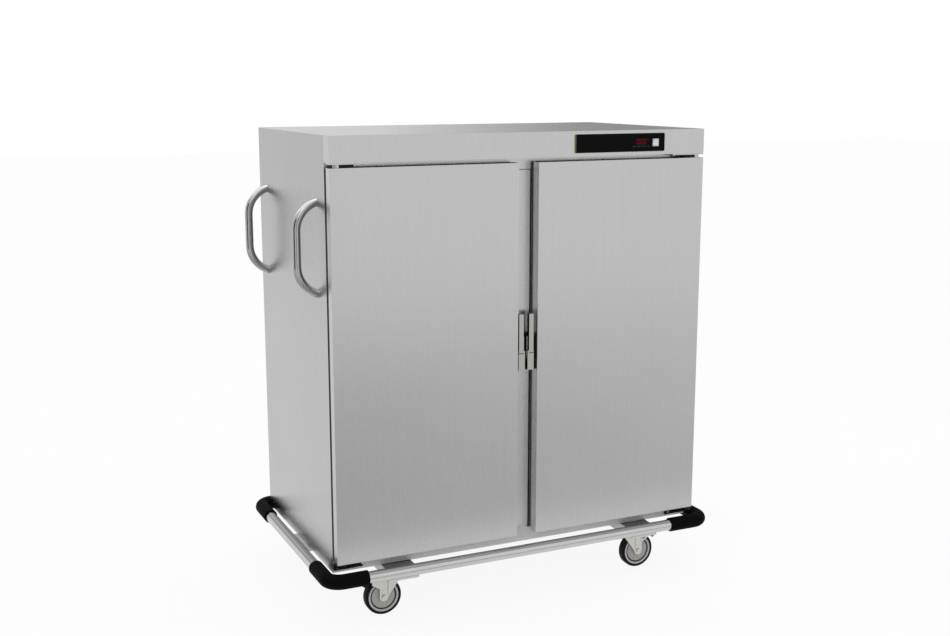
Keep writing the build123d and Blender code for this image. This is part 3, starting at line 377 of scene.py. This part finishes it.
def glossy_pane(name, color, trim=None):
    """A dark pane with faint wiping marks. A trim colour shows on its edges and in a narrow border."""
    graph = Graph(name)
    marks = graph.noise(30.0, (1, 1, 0.3), detail=4.0)
    face = color
    if trim:
        trim_color, right_of, above = trim
        front = graph.beyond("Normal", Y, FACING, size_only=True)
        inside = graph.math("MULTIPLY", graph.beyond("Object", X, right_of), graph.beyond("Object", Z, above))
        face = graph.mixed(graph.math("MULTIPLY", front, inside), trim_color, color)
    graph.tint(face, graph.spread(marks, 0.9, 1.1))
    graph.vary("Roughness", graph.spread(marks, 0.12, 0.20))
    graph.set("Specular IOR Level", 0.04)
    return graph.material


def mineral_wool(name):
    graph = Graph(name)
    fibres = graph.noise(260.0, (1, 1, 0.3), detail=5.0, roughness=0.7)
    graph.tint((0.55, 0.47, 0.27), graph.spread(fibres, 0.7, 1.25))
    graph.set("Roughness", 0.95)
    graph.bump(fibres, 0.001, 0.8)
    return graph.material


def glowing(name, color, strength):
    graph = Graph(name)
    cells = graph.noise(900.0, detail=1.0)
    graph.tint(color, graph.spread(cells, 0.92, 1.08))
    graph.set("Roughness", 0.4)
    graph.set("Specular IOR Level", 0.1)
    graph.set("Emission Color", (*color, 1.0))
    graph.set("Emission Strength", strength)
    return graph.material


# The finishes
UP = (0, 0, 1)
DEEP = (0, 1, 0)
# Painted reflections round the rail and the handles: dark bands and, on the handles, a painted highlight near the
# top.
RAIL_PAINTED_REFLECTIONS = ((-0.10, 1.0), (-0.02, 0.80), (0.05, 0.80), (0.13, 1.0), (0.58, 1.0), (0.70, 0.45), (0.80, 0.45),
              (0.87, 0.66), (0.94, 0.58), (1.0, 0.62))
HANDLE_PAINTED_REFLECTIONS = ((-0.60, 0.90), (-0.40, 0.62), (-0.15, 0.75), (-0.05, 0.95), (0.05, 0.95), (0.20, 0.80),
                (0.42, 0.95), (0.55, 1.80), (0.80, 1.80), (0.90, 1.05))
STEEL = {
    "door": brushed_steel("door_steel", 192, UP, painted_light_side_level=222),
    "shell": brushed_steel("shell_steel", 184, UP, painted_side_shade=0.865),
    "top": brushed_steel("top_steel", 186, DEEP),
    "fascia": brushed_steel("fascia_steel", 192, UP),
    "frame": brushed_steel("frame_steel", 190, UP, satin_below=0.26),
    "liner": brushed_steel("liner_steel", 186, UP, roughness=0.34),
    "tube": tube_metal("tube_steel", 196, RAIL_PAINTED_REFLECTIONS, 0.24),
    "handle": tube_metal("handle_steel", 174, HANDLE_PAINTED_REFLECTIONS, 0.17),
    "chassis": brushed_steel("chassis_steel", 192, DEEP, roughness=0.33, painted_shade_top_level=120, satin_below=0.21),
}
# The hinge plates below 0.6 m are black as painted shade.
HINGE = hinge_metal("hinge_steel", 186, (0.006, 0.006, 0.007), 0.6)
ZINC = plain_metal("zinc_plate", (0.57, 0.555, 0.525), 0.36, scale=60.0, mottling=0.05)
CHROME = plain_metal("chrome_wire", grey(215), 0.12, scale=40.0, mottling=0.02)
LATCH_PLATING = (0.46, 0.455, 0.43)
# Black of the latches' base, and painted shade on the other faces of their plated parts.
LATCH_BLACK_AND_SHADE = (0.003, 0.003, 0.0035)
LATCH = latch_metal("latch_plate", 0.0319)
# On the levers the black beyond this distance is painted shade along their outer front edge.
LEVER = latch_metal("latch_lever_plate", 0.0297)
STRIKE = plain_metal("strike_steel", (0.42, 0.405, 0.375), 0.32, scale=50.0, mottling=0.04)
# The near-black groove colour is painted shade.
WHEEL_METAL = wheel_plastic("wheel_grey", (0.38, 0.375, 0.37), (0.47, 0.465, 0.46), (0.05, 0.05, 0.05))
MOTOR = plain_metal("motor_paint", (0.045, 0.048, 0.052), 0.45, metallic=0.2)
ELEMENT = plain_metal("element_steel", (0.12, 0.10, 0.085), 0.5, scale=70.0, mottling=0.2)
BLACK = moulded("black_plastic", (0.008, 0.008, 0.009), 0.5)
SLEEVE = moulded("sleeve_rubber", (0.0026, 0.0026, 0.0029), 0.62, grain=420.0, depth=0.00012, gloss=0.03)
GASKET = gasket_rubber("gasket_rubber", (0.012, 0.012, 0.0125), (0.003, 0.003, 0.0035))
TYRE = moulded("tyre_rubber", (0.006, 0.0065, 0.011), 0.55, grain=500.0, gloss=0.08)
SWITCH = moulded("switch_plastic", (0.62, 0.62, 0.61), 0.3, depth=0.00002, gloss=0.4)
PANEL_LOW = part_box("control_panel")[0]
PANEL_TRIM = ((0.16, 0.13, 0.035), PANEL_LOW[0] + 0.0024, PANEL_LOW[2] + 0.0010)
PANEL = glossy_pane("panel_gloss", (0.0026, 0.0026, 0.0031), trim=PANEL_TRIM)
KEYS = glossy_pane("key_gloss", (0.0032, 0.0032, 0.0038))
PANE = glossy_pane("display_pane", (0.0040, 0.0018, 0.0022))
WOOL = mineral_wool("mineral_wool")
DIGITS = glowing("display_digits", (0.10, 0.001, 0.004), 0.5)
FOLD_SHADE = plain_metal("fold_shade", (0.20, 0.19, 0.175), 0.5, scale=60.0)
SEAL_GREY = moulded("seal_grey", (0.24, 0.24, 0.24), 0.55)
SYMBOLS = moulded("key_symbols", (0.10, 0.10, 0.10), 0.5)


# Modifiers for the carried-over parts
SHARP_FROM = math.radians(32)
BEVEL_FROM = math.radians(35)
WELD_GAP = 0.00001


def smooth_by_angle():
    """A geometry node group that shades smooth, with edges over the given angle left sharp."""
    group = bpy.data.node_groups.new("smooth_by_angle", "GeometryNodeTree")
    group.interface.new_socket("Geometry", in_out="INPUT", socket_type="NodeSocketGeometry")
    group.interface.new_socket("Geometry", in_out="OUTPUT", socket_type="NodeSocketGeometry")
    entry = group.nodes.new("NodeGroupInput")
    leave = group.nodes.new("NodeGroupOutput")
    faces = group.nodes.new("GeometryNodeSetShadeSmooth")
    faces.domain = "FACE"
    edges = group.nodes.new("GeometryNodeSetShadeSmooth")
    edges.domain = "EDGE"
    angle = group.nodes.new("GeometryNodeInputMeshEdgeAngle")
    limit = group.nodes.new("FunctionNodeCompare")
    limit.data_type = "FLOAT"
    limit.operation = "LESS_EQUAL"
    limit.inputs["B"].default_value = SHARP_FROM
    group.links.new(angle.outputs["Unsigned Angle"], limit.inputs["A"])
    group.links.new(entry.outputs[0], faces.inputs["Geometry"])
    group.links.new(faces.outputs[0], edges.inputs["Geometry"])
    group.links.new(limit.outputs["Result"], edges.inputs["Shade Smooth"])
    group.links.new(edges.outputs[0], leave.inputs[0])
    return group


SMOOTH = smooth_by_angle()


def soften(piece, edge):
    """Rounded edges and smooth shading, through modifiers alone."""
    weld = piece.modifiers.new("weld", "WELD")
    weld.merge_threshold = WELD_GAP
    if edge:
        bevel = piece.modifiers.new("edges", "BEVEL")
        bevel.width = edge
        bevel.segments = 2
        bevel.limit_method = "ANGLE"
        bevel.angle_limit = BEVEL_FROM
        bevel.harden_normals = False
    shade = piece.modifiers.new("shade", "NODES")
    shade.node_group = SMOOTH
    if edge:
        weights = piece.modifiers.new("weights", "WEIGHTED_NORMAL")
        weights.keep_sharp = True


def paint(names, material, edge=0.0):
    """A finished material, and softened edges, for carried-over parts."""
    for name in names:
        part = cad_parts[name]
        for place in part.material_slots:
            place.material = material
        soften(part, edge)


# Helpers for new pieces
def new_piece(name, mesh_maker, material, body):
    """A mesh piece in the row's frame that rides on a body."""
    builder = bmesh.new()
    mesh_maker(builder)
    mesh = bpy.data.meshes.new(name)
    builder.to_mesh(mesh)
    builder.free()
    mesh.materials.append(material)
    piece = bpy.data.objects.new(name, mesh)
    bpy.context.collection.objects.link(piece)
    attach(piece, body)


def bevel_edges(builder, edges, offset):
    bmesh.ops.bevel(builder, geom=edges, offset=offset, segments=2, profile=0.5, affect="EDGES")


def add_box(builder, low, high, bevel=0.0):
    """A box between two corners, with all its edges rounded."""
    made = bmesh.ops.create_cube(builder, size=1.0)
    verts = made["verts"]
    size = Vector(high) - Vector(low)
    middle = (Vector(high) + Vector(low)) / 2
    for vert in verts:
        vert.co = Vector([vert.co[axis] * size[axis] + middle[axis] for axis in range(3)])
    if bevel:
        bevel_edges(builder, list({edge for vert in verts for edge in vert.link_edges}), bevel)


def close_prism(builder, front, back):
    """The two ends and the sides of a prism, between a ring of points in front and one behind."""
    builder.faces.new(front)
    builder.faces.new(list(reversed(back)))
    for index in range(len(front)):
        after = (index + 1) % len(front)
        builder.faces.new((front[index], back[index], back[after], front[after]))


# The stage
FLOOR_SIZE = 30.0
FLOOR_WHITE = 0.9


def rays_seen(tree):
    """1 for rays from the camera, off gloss and through glass, 0 for the light on matt surfaces."""
    path = tree.nodes.new("ShaderNodeLightPath")
    total = path.outputs["Is Camera Ray"]
    for name in ("Is Glossy Ray", "Is Transmission Ray"):
        most = tree.nodes.new("ShaderNodeMath")
        most.operation = "MAXIMUM"
        tree.links.new(total, most.inputs[0])
        tree.links.new(path.outputs[name], most.inputs[1])
        total = most.outputs[0]
    return total


def make_world():
    """A plain white surrounding."""
    world = bpy.data.worlds.new("studio")
    bpy.context.scene.world = world
    world.use_nodes = True
    background = world.node_tree.nodes["Background"]
    background.inputs["Color"].default_value = (1, 1, 1, 1)
    background.inputs["Strength"].default_value = 1.0


def stage_plane(name, size, material):
    """A flat square of the stage."""
    mesh = bpy.data.meshes.new(name)
    builder = bmesh.new()
    bmesh.ops.create_grid(builder, x_segments=1, y_segments=1, size=size)
    builder.to_mesh(mesh)
    builder.free()
    mesh.materials.append(material)
    plane = bpy.data.objects.new(name, mesh)
    bpy.context.collection.objects.link(plane)
    return plane


def make_floor():
    """A white floor that fades into the surrounding and keeps a soft shadow of the cart."""
    graph = Graph("floor_white")
    fine = graph.noise(4.0, detail=2.0)
    graph.tint((0.82, 0.82, 0.82), graph.spread(fine, 0.99, 1.01))
    graph.set("Roughness", 0.9)
    graph.set("Specular IOR Level", 0.0)
    white = graph.node("ShaderNodeEmission")
    blend = graph.node("ShaderNodeMixShader")
    graph.link(graph.math("MULTIPLY", rays_seen(graph.tree), FLOOR_WHITE), blend.inputs["Fac"])
    graph.link(graph.shader.outputs[0], blend.inputs[1])
    graph.link(white.outputs[0], blend.inputs[2])
    graph.show(blend)
    stage_plane("floor", FLOOR_SIZE, graph.material)


def make_card(name, place, turn, size, levels, fade=(-0.5, 0.5)):
    """A grey card that shows only in polished surfaces; its tone fades along its own width."""
    graph = Graph(name + "_grey")
    tone = graph.node("ShaderNodeEmission")
    graph.link(graph.spread(graph.coordinate("Object", X), *levels, *fade), tone.inputs["Strength"])
    graph.show(tone)
    card = stage_plane(name, 0.5, graph.material)
    card.location = place
    card.rotation_euler = [math.radians(angle) for angle in turn]
    card.scale = (*size, 1.0)
    card.visible_camera = False
    card.visible_diffuse = False
    card.visible_transmission = False
    card.visible_shadow = False


def make_lamp(name, place, target, size, power):
    data = bpy.data.lights.new(name, "AREA")
    data.shape = "RECTANGLE"
    data.size, data.size_y = size
    data.energy = power
    lamp = bpy.data.objects.new(name, data)
    lamp.location = place
    lamp.rotation_euler = (Vector(target) - Vector(place)).to_track_quat("-Z", "Y").to_euler()
    bpy.context.collection.objects.link(lamp)


make_camera()
make_world()
make_floor()
make_card("card_back", (7.75, 8.5, 2.5), (90, 0, 0), (14.5, 9.0), (0.87, 0.29), (-0.36, -0.17))
make_card("card_left", (-5.4, -1.6, 1.5), (90, 0, 105), (3.2, 4.0), (0.06, 0.06))
make_card("card_front", (-2.6, -6.4, 1.2), (90, 0, 15), (1.6, 3.6), (0.10, 0.10))
make_card("card_floor", (1.4, -3.1, 0.02), (0, 0, 0), (6.0, 4.0), (0.60, 0.82), (-0.4, 0.2))
make_lamp("key", (-3.5, -4.5, 4.5), (0, 0, 0.9), (3.0, 3.0), 30.0)
make_lamp("top", (0.5, 0.5, 5.0), (0, 0, 1.0), (4.0, 4.0), 20.0)


# Figures of the display, and marks on the keys
PRINT = 0.00012
FIGURE_HALF_WIDTH = 0.0046
FIGURE_HALF_HEIGHT = 0.0090
FIGURE_PITCH = 0.0150
FIGURE_LINE = 0.0024
FIGURE_GAP = 0.0012
FIGURES_LEFT_OF_MIDDLE = 0.0025
DEGREE_FROM_MIDDLE = 0.0235
DEGREE_DROP = 0.0016
DEGREE_RADII = (0.0022, 0.0011)
POWER_RADII = (0.0026, 0.0017)
POWER_ARC = (125, 415)
SYMBOL_LINE = 0.0009
ARROW_LINE = 0.0010


def flat_shape(builder, points, y):
    """A thin raised print on a front face at y, from points in (x, z)."""
    back = [builder.verts.new((x, y + PRINT / 2, z)) for x, z in points]
    front = [builder.verts.new((x, y - PRINT, z)) for x, z in points]
    close_prism(builder, front, back)


def flat_ring(builder, middle, radii, y, start=0.0, end=360.0, steps=20):
    """A raised ring of an outer and an inner radius, or a part of one, from start to end degrees."""
    outer, inner = radii
    angles = [math.radians(start + (end - start) * step / steps) for step in range(steps + 1)]
    for first, second in zip(angles, angles[1:]):
        corners = [(first, outer), (second, outer), (second, inner), (first, inner)]
        points = [(middle[0] + reach * math.cos(turn), middle[1] + reach * math.sin(turn)) for turn, reach in corners]
        flat_shape(builder, points, y)


def flat_bar(builder, first, second, width, y):
    """A raised bar between two points in (x, z), with pointed ends."""
    run = Vector(second) - Vector(first)
    along = run.normalized() * width / 2
    across = Vector((-along.y, along.x))
    a, b = Vector(first), Vector(second)
    points = [a - along, a - across, b - across, b + along, b + across, a + across]
    flat_shape(builder, [tuple(point) for point in points], y)


def middle_and_front(node):
    low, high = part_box(node)
    return (low[0] + high[0]) / 2, (low[2] + high[2]) / 2, low[1]


def display_figures(builder):
    """Three zeros of six bars each and a degree mark."""
    x, z, y = middle_and_front("display_window")
    bottom, top = z - FIGURE_HALF_HEIGHT, z + FIGURE_HALF_HEIGHT
    for index in range(3):
        left = x - FIGURES_LEFT_OF_MIDDLE + (index - 1) * FIGURE_PITCH - FIGURE_HALF_WIDTH
        right = left + 2 * FIGURE_HALF_WIDTH
        for side in (left, right):
            flat_bar(builder, (side, z + FIGURE_GAP), (side, top - FIGURE_GAP), FIGURE_LINE, y)
            flat_bar(builder, (side, bottom + FIGURE_GAP), (side, z - FIGURE_GAP), FIGURE_LINE, y)
        for level in (bottom, top):
            flat_bar(builder, (left + FIGURE_GAP, level), (right - FIGURE_GAP, level), FIGURE_LINE, y)
    flat_ring(builder, (x + DEGREE_FROM_MIDDLE, top - DEGREE_DROP), DEGREE_RADII, y)


def key_symbol(number):
    """The mark of one key: on and off, programme, down and up."""
    def build(builder):
        x, z, y = middle_and_front(f"touch_key_{number}")
        if number == 1:
            flat_ring(builder, (x, z), POWER_RADII, y, *POWER_ARC)
            flat_bar(builder, (x, z + 0.0004), (x, z + 0.0026), SYMBOL_LINE, y)
        elif number == 2:
            for level in (-0.0018, 0.0, 0.0018):
                flat_bar(builder, (x - 0.0020, z + level), (x + 0.0020, z + level), SYMBOL_LINE, y)
        else:
            tip = -0.0015 if number == 3 else 0.0015
            for side in (-1, 1):
                flat_bar(builder, (x, z + tip), (x + side * 0.0027, z - tip), ARROW_LINE, y)
    return build


def key_dividers(builder):
    """Short bars on the panel between the keys."""
    half_height, width = 0.0022, 0.0008
    spots = [middle_and_front(f"touch_key_{number}") for number in KEY_NUMBERS]
    for first, second in zip(spots, spots[1:]):
        x, z = (first[0] + second[0]) / 2, first[1]
        flat_bar(builder, (x, z - half_height), (x, z + half_height), width, PANEL_LOW[1])


# Trim and dark strips of painted shade: how far they sink into the part that carries them, and how far their edges
# are rounded
SINK = 0.0002
ROUND = 0.0003
FINE_ROUND = 0.0002
MULLION_SHADE_SPAN = (0.0325, 0.0372)
SHADE_END_GAP = 0.002
SILL_SHADOW_SPAN = (0.4512, 0.5648)
HINGE_BLOCK_SPAN = (0.662, 0.712)
MEMBER_CAP_SPAN = (0.4508, 0.5652)
TOP_SHADE_REACH = 0.700


def mullion_seam_shadow(builder):
    """A dark strip along the top of the cover strip, painted shadow of the seam there."""
    proud, height = 0.0004, 0.0020
    low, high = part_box("mullion_cover")
    add_box(builder, (low[0], low[1] - proud, high[2] - SINK), (high[0], high[1] - SINK, high[2] + height), ROUND)


def mullion_edge_shade(builder):
    """Black strips along both edges of the cover strip, painted shade of the gaps beside it."""
    proud, past_top = 0.0008, 0.0020
    low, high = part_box("mullion_cover")
    for sign in (-1, 1):
        span = sorted(sign * x for x in MULLION_SHADE_SPAN)
        add_box(builder, (span[0], low[1] - proud, low[2]), (span[1], low[1] + SINK, high[2] + past_top), ROUND)


def door_edge_shade(side):
    """A black strip on the back of the door's hinge edge, painted shade of the gap between door and body."""
    proud, depth, from_back, past_back = 0.0004, 0.0006, 0.0062, 0.0050

    def build(builder):
        low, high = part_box(f"door_skin_{side}")
        x = (low[0] - proud, low[0] + depth) if side == "left" else (high[0] - depth, high[0] + proud)
        add_box(builder, (x[0], high[1] - from_back, low[2] + SHADE_END_GAP),
                (x[1], high[1] + past_back, high[2] - SHADE_END_GAP), ROUND)
    return build


def door_top_shade(side):
    """A flat black strip along the top edge of a door, painted shade of the gap above it."""
    from_front, from_back, height = 0.005, 0.001, 0.0005

    def build(builder):
        low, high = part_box(f"door_skin_{side}")
        left_span = (-TOP_SHADE_REACH, high[0] - SHADE_END_GAP)
        right_span = (low[0] + SHADE_END_GAP, TOP_SHADE_REACH)
        span = left_span if side == "left" else right_span
        add_box(builder, (span[0], low[1] + from_front, high[2] - SINK),
                (span[1], high[1] - from_back, high[2] + height), FINE_ROUND)
    return build


def gasket_lip(side):
    """A grey wiping lip along the gasket's free side, facing the other door."""
    half_thickness, from_back, to_back, end_gap = 0.0004, 0.0098, 0.0026, 0.004

    def build(builder):
        low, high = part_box(f"door_gasket_{side}")
        inner = high[0] if side == "left" else low[0]
        add_box(builder, (inner - half_thickness, high[1] - from_back, low[2] + end_gap),
                (inner + half_thickness, high[1] - to_back, high[2] - end_gap), FINE_ROUND)
    return build


def sill_contact_shadow(builder):
    """Black strips where the long members pass under the sill, painted contact shadow."""
    proud, height = 0.0022, 0.0016
    sill_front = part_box("front_frame")[0][1]
    member_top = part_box("chassis_members")[1][2]
    for sign in (-1, 1):
        span = sorted(sign * x for x in SILL_SHADOW_SPAN)
        add_box(builder, (span[0], sill_front - proud, member_top - SINK),
                (span[1], sill_front + SINK, member_top + height), ROUND)


def hinge_blocks(builder):
    """A black bearing block between each door's top and the hinge plate above it."""
    from_front, to_back, rise, below_plate, rounding = 0.004, 0.030, 0.0016, 0.0035, 0.001
    door_low, door_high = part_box("door_skin_left")
    plate_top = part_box("hinge_plates")[1][2]
    for sign in (-1, 1):
        span = sorted(sign * x for x in HINGE_BLOCK_SPAN)
        add_box(builder, (span[0], door_low[1] + from_front, door_high[2] + rise),
                (span[1], door_low[1] + to_back, plate_top - below_plate), rounding)


def member_caps(builder):
    """Closed ends of the long chassis members, under the rail."""
    proud, depth, rise, below_rail, rounding = 0.0002, 0.0012, 0.0003, 0.0028, 0.0004
    low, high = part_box("bumper_rail")
    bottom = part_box("chassis_members")[0][2]
    rail_bottom, end = low[2], low[1] + (high[2] - low[2]) / 2
    for end_sign in (-1, 1):
        y = sorted((end_sign * (abs(end) + proud), end_sign * (abs(end) - depth)))
        for sign in (-1, 1):
            span = sorted(sign * x for x in MEMBER_CAP_SPAN)
            add_box(builder, (span[0], y[0], bottom + rise), (span[1], y[1], rail_bottom - below_rail), rounding)


def screw_head(builder, place, radius, height):
    """A domed screw head with a round recess, on a face that looks along +Y."""
    profile = [(1.0, 0.0), (1.0, 0.45), (0.82, 0.85), (0.45, 1.0), (0.38, 0.95), (0.32, 0.35)]
    steps = 16
    rings = []
    for reach, rise in profile:
        ring = []
        for step in range(steps):
            turn = 2 * math.pi * step / steps
            ring.append(builder.verts.new((place[0] + radius * reach * math.cos(turn), place[1] + height * rise,
                                           place[2] + radius * reach * math.sin(turn))))
        rings.append(ring)
    for inner, outer in zip(rings, rings[1:]):
        for step in range(steps):
            after = (step + 1) % steps
            builder.faces.new((inner[step], inner[after], outer[after], outer[step]))
    builder.faces.new(rings[-1])
    builder.faces.new(list(reversed(rings[0])))


def back_screws(builder):
    """The screws round the back panel."""
    margin, levels, radius, height = 0.028, (0.58, 0.98, 1.38), 0.0048, 0.0022
    low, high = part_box("back_panel")
    places = []
    for x in (low[0] + margin, low[0] / 2, 0.0, high[0] / 2, high[0] - margin):
        places += [(x, low[2] + margin), (x, high[2] - margin)]
    for z in levels:
        places += [(low[0] + margin, z), (high[0] - margin, z)]
    for x, z in places:
        screw_head(builder, (x, high[1] - SINK, z), radius, height)
    bmesh.ops.recalc_face_normals(builder, faces=builder.faces)


def fork_fold_shade(corner):
    """A dark strip of painted shade along the pressed fold line on the outer faces of a caster fork."""
    from_axle, half_width, start, top, faces = 0.0150, 0.0011, 0.028, 0.0915, (0.0219, 0.0222)

    def build(builder):
        fork_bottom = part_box(f"caster_fork_{corner}")[0][2]
        low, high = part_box(f"caster_wheel_{corner}")
        axle = (low[0] + high[0]) / 2
        side = -1 if axle < 0 else 1
        x = axle - side * from_axle
        middle = (low[1] + high[1]) / 2
        for sign in (-1, 1):
            y = sorted(middle + sign * face for face in faces)
            add_box(builder, (x - half_width, y[0], fork_bottom + start), (x + half_width, y[1], fork_bottom + top))
    return build


def pedal_pad(corner):
    """The rubber toe pad of a brake pedal."""
    outline = [(-0.026, 0.0010), (-0.006, 0.0080), (-0.006, 0.0010), (-0.017, -0.0060)]
    side_gap, rounding = 0.0005, 0.0012

    def build(builder):
        low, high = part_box(f"brake_pedal_{corner}")
        side = -1 if high[0] < 0 else 1
        tip = low[0] if side < 0 else high[0]
        rings = []
        for y in (low[1] + side_gap, high[1] - side_gap):
            rings.append([builder.verts.new((tip + side * x, y, low[2] + z)) for x, z in outline])
        close_prism(builder, *rings)
        bmesh.ops.recalc_face_normals(builder, faces=builder.faces)
        bevel_edges(builder, list(builder.edges), rounding)
    return build


# The scene's own pieces
new_piece("mullion_seam_shadow", mullion_seam_shadow, BLACK, CABINET)
new_piece("mullion_edge_shade", mullion_edge_shade, BLACK, CABINET)
new_piece("sill_contact_shadow", sill_contact_shadow, BLACK, CABINET)
new_piece("hinge_blocks", hinge_blocks, BLACK, CABINET)
new_piece("back_screws", back_screws, ZINC, CABINET)
new_piece("member_caps", member_caps, STEEL["frame"], CABINET)
for side in SIDES:
    new_piece(f"door_edge_shade_{side}", door_edge_shade(side), BLACK, f"door_{side}")
    new_piece(f"door_top_shade_{side}", door_top_shade(side), BLACK, f"door_{side}")
    new_piece(f"gasket_lip_{side}", gasket_lip(side), SEAL_GREY, f"door_{side}")
for corner in CORNERS:
    new_piece(f"fork_fold_shade_{corner}", fork_fold_shade(corner), FOLD_SHADE, f"swivel_{corner}")
for corner in BRAKED_CORNERS:
    new_piece(f"pedal_pad_{corner}", pedal_pad(corner), BLACK, f"pedal_{corner}")
new_piece("display_figures", display_figures, DIGITS, CABINET)
new_piece("key_dividers", key_dividers, SYMBOLS, CABINET)
for number in KEY_NUMBERS:
    new_piece(f"key_symbol_{number}", key_symbol(number), SYMBOLS, f"key_{number}")


# The carried-over parts
paint(["door_skin_left", "door_skin_right"], STEEL["door"], 0.0005)
paint(["side_panel_left", "side_panel_right"], STEEL["shell"])
paint(["top_panel"], STEEL["top"])
paint(["back_panel", "base_panel"], STEEL["shell"])
paint(["front_frame", "mullion_cover"], STEEL["frame"])
paint(["control_fascia"], STEEL["fascia"])
paint(["inner_liner", "door_liner_left", "door_liner_right", "fan_cover", "shelf_racks"], STEEL["liner"])
paint(["body_insulation", "door_insulation_left", "door_insulation_right"], WOOL)
paint(["wire_shelves"], CHROME)
paint(["bumper_rail"], STEEL["tube"])
paint(["push_handles"], STEEL["handle"])
paint(["chassis_members"], STEEL["chassis"], 0.0008)
paint(["hinge_plates"], HINGE, 0.0005)
paint(["bumper_sleeves"], SLEEVE, 0.0015)
paint(["door_gasket_left", "door_gasket_right"], GASKET, 0.001)
paint([f"caster_fork_{corner}" for corner in CORNERS], ZINC, 0.0006)
paint(["caster_plates", "fasteners", "fan_impeller"], ZINC, 0.0004)
paint([f"caster_wheel_{corner}" for corner in CORNERS], WHEEL_METAL, 0.0008)
paint([f"caster_tyre_{corner}" for corner in CORNERS], TYRE)
paint([f"brake_pedal_{corner}" for corner in BRAKED_CORNERS], BLACK, 0.002)
paint(["power_inlet", "controller_module"], BLACK, 0.0006)
paint(["control_panel"], PANEL, 0.0004)
paint([f"touch_key_{number}" for number in KEY_NUMBERS], KEYS, 0.0003)
paint(["display_window"], PANE)
paint(["switch_housing", "switch_rocker"], SWITCH, 0.0006)
paint([f"latch_body_{side}" for side in SIDES], LATCH, 0.0008)
paint([f"latch_lever_{side}" for side in SIDES], LEVER, 0.0008)
paint(["latch_strikes"], STRIKE, 0.0005)
paint(["fan_motor"], MOTOR, 0.001)
paint(["heating_element"], ELEMENT)

bpy.context.scene.view_settings.view_transform = "Standard"
